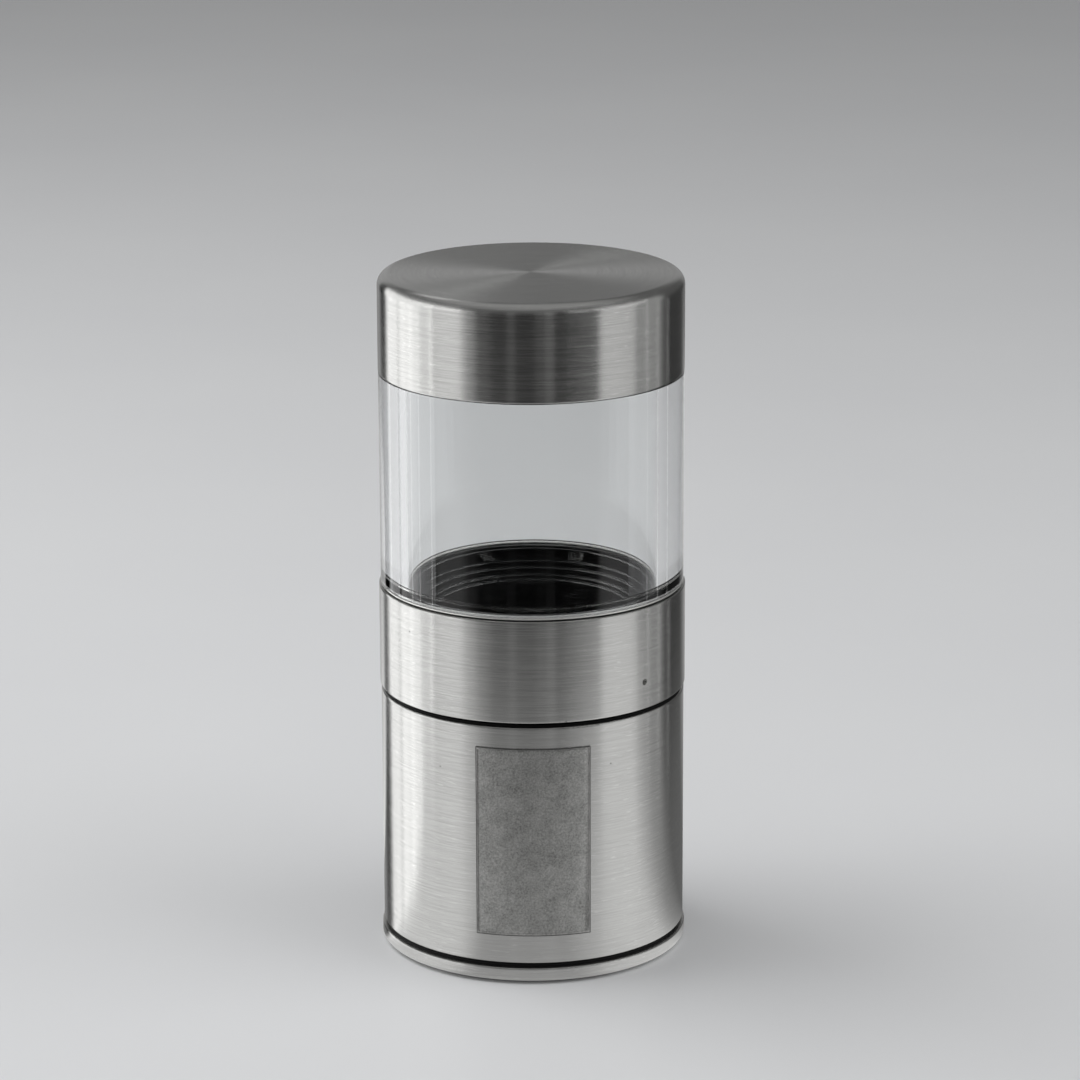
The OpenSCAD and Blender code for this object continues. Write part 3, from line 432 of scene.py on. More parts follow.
redWire = mouldedPlastic("redPvcWire", "#a41713", 0.35, grit=0.5 * mm, shade=0.9)    # extruded: smooth, satin
blueWire = mouldedPlastic("bluePvcWire", "#1c2f86", 0.35, grit=0.5 * mm, shade=0.9)    # the same in blue
cellWrap = mouldedPlastic("greenShrinkSleeve", "#175c34", 0.2, grit=1.6 * mm, dent=0.01 * mm, shade=0.85)    # taut
milkyPipe = mouldedPlastic("milkyPolycarbonate", "#e3e6e6", 0.3, shade=0.96)    # cloudy light pipe
laminatedSteel = layeredMetal("laminatedSteel", "#75787c", "#2b2c2e", 0.5 * mm, 0.45)    # varnished sheet stack
woundCopper = layeredMetal("enamelledCopper", "#b46a35", "#4d2209", 0.3 * mm, 0.3)    # glossy wire, turn by turn
boardMask = solderMask()
print("materials made")


# sizes read from the frame

def span(node):
    low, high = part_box(node)
    return {"r": (high.x - low.x) / 2, "bottom": low.z, "top": high.z, "middle": (low.z + high.z) / 2}


lid, cup, trim, ring, bowl, shell, gasket, cap, foot = [span(node) for node in (
    "lid_shell", "clear_cup", "cup_trim_ring", "run_ring_sleeve", "grinding_bowl", "body_shell", "base_gasket",
    "base_cap", "foot_ring")]
portHeight = span("port_bezel")["middle"]

lidSettings = {"wall": 0.8 * mm, "topThickness": 1.0 * mm, "rounding": 2.0 * mm, "lip": 0.32 * mm,
               "topRings": (0.1, 0.3, 0.6)}


def makeLid():
    s = lidSettings
    outer, inner = lid["r"], lid["r"] - s["wall"]
    top, under, innerRound = lid["top"], lid["top"] - s["topThickness"], s["rounding"] - s["wall"]
    outline = [(poleRadius, top)] + [(outer * share, top) for share in s["topRings"]]
    outline += arc(outer - s["rounding"], top - s["rounding"], s["rounding"], 90, 0, 14)
    outline += arc(outer - s["lip"], lid["bottom"] + s["lip"], s["lip"], 0, -90, 6)
    outline += [(inner, lid["bottom"])]
    outline += arc(inner - innerRound, under - innerRound, innerRound, 0, 90)
    outline += [(poleRadius, under)]
    piece = turnedPiece("spun_lid", outline, closed=False)
    dress(piece, "lid", steelLid, "spun_steel", "lid_shell")


cupSettings = {"bore": 22.4 * mm, "neck": 2.5 * mm, "neckHeight": 9 * mm, "lidGap": 0.02 * mm,
               "edge": 0.25 * mm, "topEdge": 0.12 * mm, "sides": 256}


def makeCup():
    s = cupSettings
    bore, neck, outer = s["bore"], s["bore"] + s["neck"], cup["r"]
    shoulderLow, shoulderTop = trim["top"], lid["bottom"] - s["lidGap"]
    e, t = s["edge"], s["topEdge"]
    outline = [(bore, cup["bottom"] + e), (bore + e, cup["bottom"]), (neck - e, cup["bottom"]),
               (neck, cup["bottom"] + e), (neck, shoulderLow)]
    outline += arc(outer - e, shoulderLow + e, e, -90, 0, 5)
    outline += arc(outer - t, shoulderTop - t, t, 0, 90, 4)
    outline += [(neck, shoulderTop), (neck, cup["top"] - e), (neck - e, cup["top"]), (bore + e, cup["top"]),
                (bore, cup["top"] - e)]
    piece = turnedPiece("clear_acrylic_cup", outline, sides=s["sides"])
    dress(piece, "cup", acrylic, "clear_acrylic", "clear_cup")


trimSettings = {"play": 0.05 * mm, "flat": 0.4 * mm}


def makeTrim():
    # a half-round bead: its crown catches the window as one bright line
    half, flat = (trim["top"] - trim["bottom"]) / 2, trim["r"] - trimSettings["flat"]
    inner = cupSettings["bore"] + cupSettings["neck"] + trimSettings["play"]
    outline = [(inner, trim["bottom"]), (flat, trim["bottom"])]
    outline += arc(trim["r"] - half, trim["bottom"] + half, half, -90, 90)
    outline += [(flat, trim["top"]), (inner, trim["top"])]
    piece = turnedPiece("polished_trim_ring", outline)
    # its steel carries a painted sheen: a near-white diffuse share standing in for the bright highlight line
    dress(piece, "cup", trimSteelPaintedSheen, "polished_steel", "cup_trim_ring")


ringSettings = {"wall": 0.8 * mm, "edge": 0.25 * mm, "markAngle": -44, "markRadius": 0.575 * mm,
                "markDepth": 0.48 * mm, "markUp": 0.27}


def makeRing():
    s = ringSettings
    piece = turnedPiece("run_ring", tubeOutline(ring, s["wall"], s["edge"], 4))
    markHeight = ring["bottom"] + s["markUp"] * (ring["top"] - ring["bottom"])
    drillInward(piece, s["markRadius"], 2 * s["markDepth"], s["markAngle"], ring["r"], markHeight, 24)
    finishMesh(piece)
    dress(piece, "run_ring", steelSide, "brushed_steel", "run_ring_sleeve")


def stadiumBar(name, width, height, yFrom, yTo, z):
    # a bar with a long round-ended outline in XZ, run along Y: a circle pulled apart and extruded
    deselectAll()
    bpy.ops.mesh.primitive_circle_add(vertices=64, radius=height / 2, fill_type="NGON",
                                      location=(0, yFrom, z), rotation=(pi / 2, 0, 0))
    bar = nameNewest(name)
    bpy.ops.object.transform_apply()
    reach = (width - height) / 2
    for vertex in bar.data.vertices:
        if abs(vertex.co.x) > 1e-7:
            vertex.co.x += reach if vertex.co.x > 0 else -reach
    editAll()
    bpy.ops.mesh.extrude_region_move(TRANSFORM_OT_translate={"value": (0, yTo - yFrom, 0)})
    bpy.ops.mesh.select_all(action="SELECT")
    bpy.ops.mesh.normals_make_consistent(inside=False)
    leaveEdit()
    return bar


bodySettings = {"wall": 0.8 * mm, "edge": 0.25 * mm, "portWidth": 12 * mm, "portHeight": 6 * mm,
                "lightAngle": 66, "lightRadius": 1.05 * mm, "cutPast": 2 * mm}


def makeBody():
    s = bodySettings
    piece = turnedPiece("motor_body", tubeOutline(shell, s["wall"], s["edge"], 3))
    cutAway(piece, stadiumBar("portCutter", s["portWidth"], s["portHeight"],
                              shell["r"] - s["wall"] - s["cutPast"], shell["r"] + s["cutPast"], portHeight))
    drillInward(piece, s["lightRadius"], 4 * s["cutPast"], s["lightAngle"], shell["r"], portHeight, 32)
    finishMesh(piece)
    dress(piece, "base", steelSide, "brushed_steel", "body_shell")


plateSettings = {"line": 0.16 * mm, "lineDeep": 0.05 * mm, "rim": 0.3 * mm, "rimHeight": 0.05 * mm,
                 "rimSlope": 0.06 * mm, "thickness": 0.14 * mm, "columns": 48}


def makePlate():
    # a thin curved plate: a grid bent round the body, its border left a little higher than its field
    s = plateSettings
    low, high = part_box("name_plate")
    outer = -low.y
    halfAngle = atan2(high.x, sqrt(outer ** 2 - high.x ** 2))
    deselectAll()
    bpy.ops.mesh.primitive_grid_add(x_subdivisions=s["columns"], y_subdivisions=1, size=1)
    plate = nameNewest("front_plate")
    plate.scale = (2 * halfAngle * outer, high.z - low.z, 1)
    bpy.ops.object.transform_apply(location=False, rotation=False, scale=True)
    editAll()
    # an etched line round the edge, a plain rim inside it, then the sunk field
    bpy.ops.mesh.inset(thickness=s["line"], depth=0, use_boundary=True)
    leaveEdit()
    lineFaces = [face.index for face in plate.data.polygons if not face.select]
    bpy.ops.object.mode_set(mode="EDIT")
    bpy.ops.mesh.inset(thickness=s["rim"], depth=s["lineDeep"], use_boundary=True)
    bpy.ops.mesh.inset(thickness=s["rimSlope"], depth=-s["rimHeight"], use_boundary=True)
    leaveEdit()
    solid = plate.modifiers.new("thickness", "SOLIDIFY")
    solid.thickness, solid.offset = s["thickness"], -1
    applyModifiers(plate)
    for vertex in plate.data.vertices:
        turn, radius = vertex.co.x / outer, outer + vertex.co.z
        vertex.co = Vector((radius * sin(turn), -radius * cos(turn), (low.z + high.z) / 2 + vertex.co.y))
    finishMesh(plate)
    dress(plate, "base", steelPlate, "blasted_steel", "name_plate")
    plate.data.materials.append(etchedLine)
    for index in lineFaces:
        plate.data.polygons[index].material_index = 1


bowlSettings = {
    "bore": 21.5 * mm, "spigot": 22.1 * mm, "socket": 25.2 * mm, "collar": 26.5 * mm, "skirt": 24.9 * mm,    # radii
    "steps": ((21.0, 2.1), (20.0, 3.2), (18.9, 4.3), (17.9, 4.9)),    # radius and depth under the rim, in mm
    "stepRounding": 0.2 * mm, "stepEase": 0.3, "edge": 0.12 * mm, "fillet": 2.1 * mm, "floorR": 16.6 * mm,
    "socketDeep": 5.6 * mm, "collarGap": 0.05 * mm, "collarUnder": 1.4 * mm, "floor": 2 * mm,
    "boss": 4.6 * mm, "bossUp": 1 * mm, "sealSeat": 3.45 * mm, "sealDeep": 1.8 * mm, "shaftHole": 1.75 * mm,
}


def makeBowl():
    s = bowlSettings
    rim, seat, e = bowl["top"], bowl["bottom"], s["edge"]
    socketFloor, floorTop = rim - s["socketDeep"], seat + s["floor"]
    collarTop, collarLow = ring["top"] - s["collarGap"], socketFloor - s["collarUnder"]
    bossTop = floorTop + s["bossUp"]
    outline = [(s["shaftHole"], seat), (s["skirt"], seat), (s["skirt"], collarLow), (s["collar"], collarLow),
               (s["collar"], collarTop - e), (s["collar"] - e, collarTop), (s["socket"] + e, collarTop),
               (s["socket"], collarTop - e), (s["socket"], socketFloor), (s["spigot"], socketFloor),
               (s["spigot"], rim - e), (s["spigot"] - e, rim), (s["bore"] + e, rim), (s["bore"], rim - e)]
    wall, nose = s["bore"], s["stepRounding"]
    for radius, drop in s["steps"]:
        level = rim - drop * mm
        outline += [(wall, level + e), (wall - e * s["stepEase"], level)]
        outline += arc(radius * mm + nose, level - nose, nose, 90, 180, 4)
        wall = radius * mm
    outline += arc(s["floorR"] - s["fillet"], floorTop + s["fillet"], s["fillet"], 0, -90)
    outline += [(s["boss"], floorTop), (s["boss"], bossTop - e), (s["boss"] - e, bossTop), (s["sealSeat"], bossTop),
                (s["sealSeat"], bossTop - s["sealDeep"]), (s["shaftHole"], bossTop - s["sealDeep"])]
    piece = turnedPiece("black_bowl", outline)
    dress(piece, "base", bowlPlastic, "black_plastic", "grinding_bowl")


gasketSettings = {"edge": 0.2 * mm, "deep": 2 * mm}


def makeGasket():
    e, inner = gasketSettings["edge"], gasket["r"] - gasketSettings["deep"]
    outline = [(inner, gasket["bottom"]), (gasket["r"] - e, gasket["bottom"])]
    outline += arc(gasket["r"] - e, gasket["middle"], e, -90, 90, 6)
    outline += [(gasket["r"] - e, gasket["top"]), (inner, gasket["top"])]
    dress(turnedPiece("base_seal", outline), "base", rubber, "black_rubber", "base_gasket")


capSettings = {"round": 0.8 * mm, "lip": 0.3 * mm, "footInset": 1.5 * mm, "footWidth": 2.6 * mm,
               "footSink": 0.7 * mm, "rimHeight": 2.5 * mm, "rimWidth": 4.5 * mm, "floor": 1 * mm,
               "holeRadius": 2.0 * mm, "holeDeep": 3 * mm}
screwSettings = {"ring": 21 * mm, "angles": (0, 180, 270), "headRadius": 1.9 * mm, "headHeight": 1.2 * mm,
                 "headEdge": 0.3 * mm, "shankRadius": 1.1 * mm, "point": 0.5 * mm,
                 "slotWide": 0.55 * mm, "slotLong": 2.3 * mm, "slotDeep": 0.7 * mm}


def screwPlace(angle, height):
    return (screwSettings["ring"] * cos(radians(angle)), screwSettings["ring"] * sin(radians(angle)), height)


def makeCap():
    s = capSettings
    r, low, top, floor = cap["r"], cap["bottom"], cap["bottom"] + s["rimHeight"], cap["bottom"] + s["floor"]
    grooveOut, grooveIn, grooveTop = r - s["footInset"], r - s["footInset"] - s["footWidth"], low + s["footSink"]
    outline = [(poleRadius, low), (grooveIn, low), (grooveIn, grooveTop), (grooveOut, grooveTop), (grooveOut, low)]
    outline += arc(r - s["round"], low + s["round"], s["round"], -90, 0)
    outline += arc(r - s["lip"], top - s["lip"], s["lip"], 0, 90, 6)
    outline += [(r - s["rimWidth"], top), (r - s["rimWidth"], floor), (poleRadius, floor)]
    piece = turnedPiece("rolled_base_cap", outline, closed=False)
    for angle in screwSettings["angles"]:
        deselectAll()
        bpy.ops.mesh.primitive_cylinder_add(vertices=40, radius=s["holeRadius"], depth=s["holeDeep"])
        drill = bpy.context.object
        drill.location = screwPlace(angle, low)
        cutAway(piece, drill)
    finishMesh(piece)
    dress(piece, "base", steelSide, "brushed_steel", "base_cap")


def makeBaseScrews():
    # pan heads with a cross recess, seen in their holes from below
    s = screwSettings
    low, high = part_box("base_screws")
    head, shank, e, under = s["headRadius"], s["shankRadius"], s["headEdge"], low.z + s["headHeight"]
    outline = [(poleRadius, low.z)] + arc(head - e, low.z + e, e, -90, 0, 4)
    outline += [(head, under), (shank, under), (shank, high.z - s["point"]), (shank - s["point"], high.z),
                (poleRadius, high.z)]
    first = turnedPiece("base_screw_set", outline, closed=False, sides=48)
    for turn in (pi / 4, 3 * pi / 4):
        deselectAll()
        bpy.ops.mesh.primitive_cube_add(size=1, location=(0, 0, low.z), rotation=(0, 0, turn),
                                        scale=(s["slotLong"], s["slotWide"], 2 * s["slotDeep"]))
        cutAway(first, bpy.context.object)
    copies = []
    for angle in s["angles"]:
        copy = first.copy()
        copy.data = first.data.copy()
        bpy.context.scene.collection.objects.link(copy)
        copy.location = screwPlace(angle, 0)
        copies.append(copy)
    bpy.data.objects.remove(first)
    pickOnly(copies[0])
    for copy in copies:
        copy.select_set(True)
    bpy.ops.object.transform_apply()
    bpy.ops.object.join()
    screws = nameNewest("base_screw_set")
    finishMesh(screws)
    dress(screws, "base", zincSteel, "zinc_plate", "base_screws")


footSettings = {"edge": 0.25 * mm, "play": 0.1 * mm}


def makeFoot():
    e, outer, low, top = footSettings["edge"], foot["r"], foot["bottom"], foot["top"]
    inner = outer - capSettings["footWidth"] + footSettings["play"]
    outline = [(inner, top), (inner, low + e), (inner + e, low), (outer - e, low), (outer, low + e), (outer, top)]
    dress(turnedPiece("rubber_foot", outline), "base", rubber, "black_rubber", "foot_ring")


linerSettings = {"sleeve": 1.3 * mm, "plugGap": 0.3 * mm, "plugWall": 1.2 * mm, "web": 1.6 * mm, "webUp": 0.9 * mm,
                 "plugUp": 1.3 * mm, "sealUp": 4 * mm, "sealHalf": 0.4 * mm, "sealDeep": 0.55 * mm, "edge": 0.3 * mm}


def makeLiner():
    # the lid's plastic lining: a sleeve pressed into the steel, a web over the cup's neck, a hollow plug in its bore
    s = linerSettings
    low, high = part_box("lid_liner")
    e, outer = s["edge"], high.x
    sleeveIn, plug = outer - s["sleeve"], cupSettings["bore"] - s["plugGap"]
    plugLow, web = cup["top"] - cupSettings["neckHeight"] + s["plugUp"], cup["top"] + s["webUp"]
    hollow, groove = plug - s["plugWall"], plug - s["sealDeep"]
    grooveLow, grooveTop = plugLow + s["sealUp"] - s["sealHalf"], plugLow + s["sealUp"] + s["sealHalf"]
    outline = [(poleRadius, plugLow)] + arc(plug - e, plugLow + e, e, -90, 0, 4)
    outline += [(plug, grooveLow), (groove, grooveLow), (groove, grooveTop), (plug, grooveTop), (plug, web),
                (sleeveIn, web), (sleeveIn, low.z + e), (sleeveIn + e, low.z), (outer - e, low.z), (outer, low.z + e),
                (outer, high.z - e), (outer - e, high.z), (sleeveIn, high.z), (sleeveIn, web + s["web"]),
                (hollow, web + s["web"]), (hollow, plugLow + s["web"]), (poleRadius, plugLow + s["web"])]
    piece = turnedPiece("lid_lining", outline, closed=False)
    dress(piece, "lid", greyPlastic, "grey_plastic", "lid_liner")


for makePiece in (makeLid, makeCup, makeTrim, makeRing, makeBody, makePlate, makeBowl, makeGasket, makeCap,
                  makeFoot, makeLiner):
    makePiece()
print("turned pieces made")

bladeSettings = {"bend": 12, "flat": 7.5 * mm, "ground": 22, "groundFrom": 0.45, "bevelWide": 1.1 * mm,
                 "bevelDrop": 0.55 * mm, "bevelFrom": 4 * mm, "bevelRun": 1 * mm, "bendRun": 0.5 * mm,
                 "tipOver": 0.12 * mm, "columns": 24, "rows": 8}


def makeBlade():
    # one strip of steel: bent up at both ends, leading corners ground off and leading edges ground to a wedge
    s = bladeSettings
    low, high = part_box("blade")
    bend, width, thickness = radians(s["bend"]), high.y - low.y, span("blade_nut")["bottom"] - low.z
    length = high.x / cos(bend) + s["tipOver"]
    top, groundFrom = low.z + thickness, s["flat"] + s["groundFrom"] * (length - s["flat"])

    def leadingEdge(along):
        return -width / 2 + max(0.0, along - groundFrom) * tan(radians(s["ground"]))

    deselectAll()
    bpy.ops.mesh.primitive_grid_add(x_subdivisions=s["columns"], y_subdivisions=s["rows"], size=1)
    blade = nameNewest("ground_blade")
    blade.scale = (2 * length, width, 1)
    bpy.ops.object.transform_apply(location=False, rotation=False, scale=True)
    for vertex in blade.data.vertices:
        side = 1 if vertex.co.x > 0 else -1
        edge = leadingEdge(abs(vertex.co.x))    # the leading edge is where side times y is lowest
        vertex.co.y = side * (edge + (side * vertex.co.y + width / 2) / width * (width / 2 - edge))
    solid = blade.modifiers.new("thickness", "SOLIDIFY")
    solid.thickness, solid.offset = thickness, -1
    applyModifiers(blade)
    for vertex in blade.data.vertices:
        side = 1 if vertex.co.x > 0 else -1
        along, height = abs(vertex.co.x), vertex.co.z
        behind = side * vertex.co.y - leadingEdge(along)
        if height > -thickness / 2:
            height -= s["bevelDrop"] * max(0.0, 1 - behind / s["bevelWide"]) * \
                min(1.0, max(0.0, (along - s["bevelFrom"]) / s["bevelRun"]))
        beyond = max(0.0, along - s["flat"])
        reach = min(along, s["flat"]) + beyond * cos(bend) - height * sin(bend) * min(1, beyond / s["bendRun"])
        vertex.co.x = side * min(reach, high.x)
        vertex.co.z = min(top + height + beyond * sin(bend), high.z)
    finishMesh(blade)
    dress(blade, "rotor", steelBlade, "blade_steel", "blade")


fixingSettings = {"hubEdge": 0.2 * mm, "hubBore": 1.2 * mm, "hexShare": 0.7, "coneOver": 1.2 * mm,
                  "coneUnder": 0.75 * mm, "coneClear": 0.02 * mm, "domeSink": 0.2 * mm,
                  "dome": ((2.3, -0.2), (2.25, 0.0), (2.0, 0.18)), "crown": ((1.6, -0.06), (1.1, 0.0))}


def makeBladeFixings():
    s = fixingSettings
    low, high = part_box("blade_hub")
    e, bore = s["hubEdge"], s["hubBore"]
    outline = [(bore, low.z), (high.x - e, low.z), (high.x, low.z + e), (high.x, high.z - e),
               (high.x - e, high.z), (bore, high.z)]
    dress(turnedPiece("turned_hub", outline, sides=64), "rotor", steelShaft, "shaft_steel", "blade_hub")
    low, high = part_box("blade_nut")
    hexHigh = s["hexShare"] * (high.z - low.z)
    hexTop = low.z + hexHigh
    deselectAll()
    bpy.ops.mesh.primitive_cylinder_add(vertices=6, radius=high.x, depth=hexHigh,
                                        location=(0, 0, low.z + hexHigh / 2), rotation=(0, 0, pi / 6))
    nut = nameNewest("domed_nut")
    bpy.ops.object.transform_apply()
    # corners chamfered as on a bar-turned nut: what is outside a cone is cut away
    deselectAll()
    bpy.ops.mesh.primitive_cone_add(vertices=64, radius1=high.x + s["coneOver"], radius2=high.x - s["coneUnder"],
                                    depth=hexHigh + s["coneClear"], location=(0, 0, low.z + hexHigh / 2))
    cutAway(nut, bpy.context.object, "INTERSECT")
    outline = [(poleRadius, hexTop - s["domeSink"])]
    outline += [(radius * mm, hexTop + rise * mm) for radius, rise in s["dome"]]
    outline += [(radius * mm, high.z + rise * mm) for radius, rise in s["crown"]] + [(poleRadius, high.z)]
    cutAway(nut, turnedPiece("nutDome", outline, closed=False, sides=48), "UNION")
    finishMesh(nut)
    dress(nut, "rotor", steelShaft, "shaft_steel", "blade_nut")


coverSettings = {"edge": 0.12 * mm, "rim": 0.5 * mm, "sink": 0.14 * mm, "slope": 0.1 * mm, "strip": 0.5 * mm,
                 "inset": 0.05 * mm, "near": 0.01 * mm}


def makeCover():
    # a rubber port cover: a raised rim round a sunk field, cut into strips and bent to the wall
    s = coverSettings
    low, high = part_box("port_cover")
    face, width, height, near = shell["r"] - s["inset"], high.x - low.x, high.z - low.z, s["near"]
    cover = stadiumBar("port_cover_rubber", width, height, low.y, face, (low.z + high.z) / 2)
    pickOnly(cover)
    bpy.ops.object.mode_set(mode="EDIT")
    bpy.ops.mesh.select_mode(type="FACE")
    bpy.ops.mesh.select_all(action="DESELECT")
    mesh = bmesh.from_edit_mesh(cover.data)
    for part in mesh.faces:
        part.select = part.calc_center_median().y > face - near
    bmesh.update_edit_mesh(cover.data)
    for thickness, depth in ((s["edge"], 0), (s["rim"], 0), (s["slope"], -s["sink"])):
        bpy.ops.mesh.inset(thickness=thickness, depth=depth)
    cuts = int(width / s["strip"])
    for i in range(1, cuts):
        bpy.ops.mesh.select_all(action="SELECT")
        bpy.ops.mesh.bisect(plane_co=(low.x + i * width / cuts, 0, 0), plane_no=(1, 0, 0))
    leaveEdit()
    for vertex in cover.data.vertices:
        x, y, z = vertex.co
        if y > face - 2 * s["sink"]:
            outermost = abs(abs(x) - width / 2) < 1e-6 or abs(abs(z - portHeight) - height / 2) < 1e-6
            rounding = s["edge"] / 2 if outermost and y > face - near else 0
            vertex.co.y -= face - sqrt(face ** 2 - x ** 2) + rounding
    finishMesh(cover)
    dress(cover, "port_cover", rubber, "black_rubber", "port_cover")


pipeSettings = {"length": 4 * mm, "inset": 0.05 * mm, "dome": ((1.0, 0.35), (0.93, 0.14), (0.7, 0.03))}


def makeChargeLight():
    s = pipeSettings
    size = span("charge_light")
    radius, outer = (size["top"] - size["bottom"]) / 2, shell["r"] - s["inset"]
    outline = [(poleRadius, outer - s["length"]), (radius, outer - s["length"])]
    outline += [(radius * share, outer - drop * mm) for share, drop in s["dome"]] + [(poleRadius, outer)]
    pipe = turnedPiece("charge_light_pipe", outline, closed=False, sides=40)
    pipe.matrix_world = outward(bodySettings["lightAngle"], 0, size["middle"])
    pickOnly(pipe)
    bpy.ops.object.transform_apply()
    dress(pipe, "base", milkyPipe, "light_pipe", "charge_light")


for makePiece in (makeBlade, makeBladeFixings, makeCover, makeChargeLight, makeBaseScrews):
    makePiece()
print("small pieces made")


# CAD nodes that keep their shape get their finishes

nodeFinish = {
    greyPlastic: ("cell_cradle",),
    silicone: ("lid_seal",),
    rubber: ("cup_seal", "ring_drag_seal", "shaft_seal"),
    deckPlastic: ("ring_carrier", "motor_deck", "run_switch", "port_bezel"),
    whitePlastic: ("motor_end_bell", "switch_plunger"),
    steelShaft: ("rotor_shaft",),
    laminatedSteel: ("armature_core",),
    woundCopper: ("armature_windings", "commutator"),
    motorSteel: ("motor_can",),
    ferrite: ("motor_magnets",),
    bronzeBush: ("upper_bush", "lower_bush"),
    carbon: ("motor_brushes",),
    brassTerminal: ("motor_terminals",),
    redWire: ("motor_leads", "cell_leads"),
    blueWire: ("switch_leads",),
    cellWrap: ("cell_rear_right", "cell_rear_left", "cell_front_left", "cell_front_right"),
    nickelStrip: ("cell_straps", "usb_socket"),
    boardMask: ("control_board",),
    zincSteel: ("bowl_screws", "deck_screws", "motor_screws"),
}
for finish, nodeNames in nodeFinish.items():
    for nodeName in nodeNames:
        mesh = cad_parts[nodeName].data
        mesh.materials.clear()
        mesh.materials.append(finish)
print("nodes finished")


# stage, light and camera

tableSettings = {"size": 8.0, "pale": "#dfe0e1", "cloud": "#d9dadc", "roughness": 0.42,
                 "dimFrom": -0.02, "dimBy": 0.95}    # the near part, as mirrored rays see it


def paleTable():
    # satin painted board: almost even, with a faint cloudiness
    s = tableSettings
    material, add, place = newMaterial("paleTable")
    cloud = add("TexNoise", {"Scale": 9.0, "Detail": 3.0}, {"Vector": place})
    tone = add("Mix", {"data_type": "RGBA", 6: hexToLinear(s["cloud"]), 7: hexToLinear(s["pale"])}, {0: cloud})
    shader = add("BsdfPrincipled", {"Roughness": s["roughness"]}, {"Base Color": tone.outputs[2]})
    # mirrored inside the clear cup the near table is dim, so that the bowl stays black
    parts = add("SeparateXYZ", links={0: place})
    near = add("Math", {"operation": "LESS_THAN", 1: s["dimFrom"]}, {0: parts.outputs["Y"]})
    path = add("LightPath")
    mirrored = add("Math", {"operation": "GREATER_THAN", 1: 0.5}, {0: path.outputs["Glossy Depth"]})
    dim = add("Math", {"operation": "MULTIPLY"}, {0: near, 1: mirrored})
    dimmer = add("Math", {"operation": "MULTIPLY", 1: s["dimBy"]}, {0: dim})
    black = add("Emission", {"Strength": 0.0})
    seen = add("MixShader", links={0: dimmer, 1: shader, 2: black})
    add("OutputMaterial", links={"Surface": seen})
    return material


def azimuth(add, parts):
    # the direction round the object in radians, from the camera side towards the right
    minusY = add("Math", {"operation": "MULTIPLY", 1: -1.0}, {0: parts.outputs["Y"]})
    return add("Math", {"operation": "ARCTAN2"}, {0: parts.outputs["X"], 1: minusY})


cardSettings = {
    "size": 0.9, "under": 0.2 * mm, "front": (-0.19, -0.13), "fade": 0.08,
    # the table as the steel sees it: azimuth in degrees, light, and reach in metres
    "stops": ((-180, 0.55, 0.46), (-157, 0.85, 0.42), (-146, 1.0, 0.38), (-136, 1.0, 0.0), (-90, 0.9, 0.0),
              (-74, 0.77, 0.25), (-50, 0.77, 0.30), (-38, 0.70, 0.38), (-28, 0.47, 0.38), (18, 0.47, 0.38),
              (32, 0.64, 0.38), (54, 0.83, 0.38), (74, 0.83, 0.30), (92, 0.40, 0.20), (114, 0.16, 0.18),
              (142, 0.15, 0.24), (156, 0.38, 0.46), (180, 0.55, 0.46)),
}


def reflectorCard():
    # a glowing white card: pale towards the window, and it ends a hand's width in front, so that only the low
    # pieces mirror it
    s = cardSettings
    material, add, place = newMaterial("whiteReflectorCard")
    parts = add("SeparateXYZ", links={0: place})
    share = add("Math", {"operation": "MULTIPLY_ADD", 1: 0.5 / pi, 2: 0.5}, {0: azimuth(add, parts)})
    ramp = add("ValToRGB", links={0: share})
    stops = ramp.color_ramp.elements
    for angle, light, reach in s["stops"]:
        stop = stops[0] if angle == -180 else stops[1] if angle == 180 else stops.new(angle / 360 + 0.5)
        stop.color = (light, reach, 0, 1)
    split = add("SeparateColor", links={0: ramp})
    glow = add("Emission", links={"Strength": split.outputs[0]})
    radius = add("VectorMath", {"operation": "LENGTH"}, {0: place})
    nearEdge = add("MapRange", {"From Min": s["front"][0], "From Max": s["front"][1]}, {"Value": parts.outputs["Y"]})
    left = add("Math", {"operation": "SUBTRACT"}, {0: split.outputs[1], 1: radius.outputs["Value"]})
    farEdge = add("MapRange", {"From Max": s["fade"]}, {"Value": left})
    shows = add("Math", {"operation": "MULTIPLY"}, {0: nearEdge, 1: farEdge})
    clear = add("BsdfTransparent")
    faded = add("MixShader", links={0: shows, 1: clear, 2: glow})
    add("OutputMaterial", links={"Surface": faded})
    return material


def makeBoard(name, size, height, material):
    deselectAll()
    bpy.ops.mesh.primitive_plane_add(size=size, location=(0, 0, height))
    board = nameNewest(name)
    bpy.ops.object.transform_apply()
    board.data.materials.append(material)
    return board


def makeStage():
    ground = cadBox[0][2]
    floor = makeBoard("pale_floor", tableSettings["size"], ground, paleTable())
    floor.visible_glossy = False
    # the steel sees the card in the table's place, and nothing else does
    card = makeBoard("reflector_card", cardSettings["size"], ground - cardSettings["under"], reflectorCard())
    card.visible_camera = card.visible_diffuse = card.visible_shadow = card.visible_transmission = False


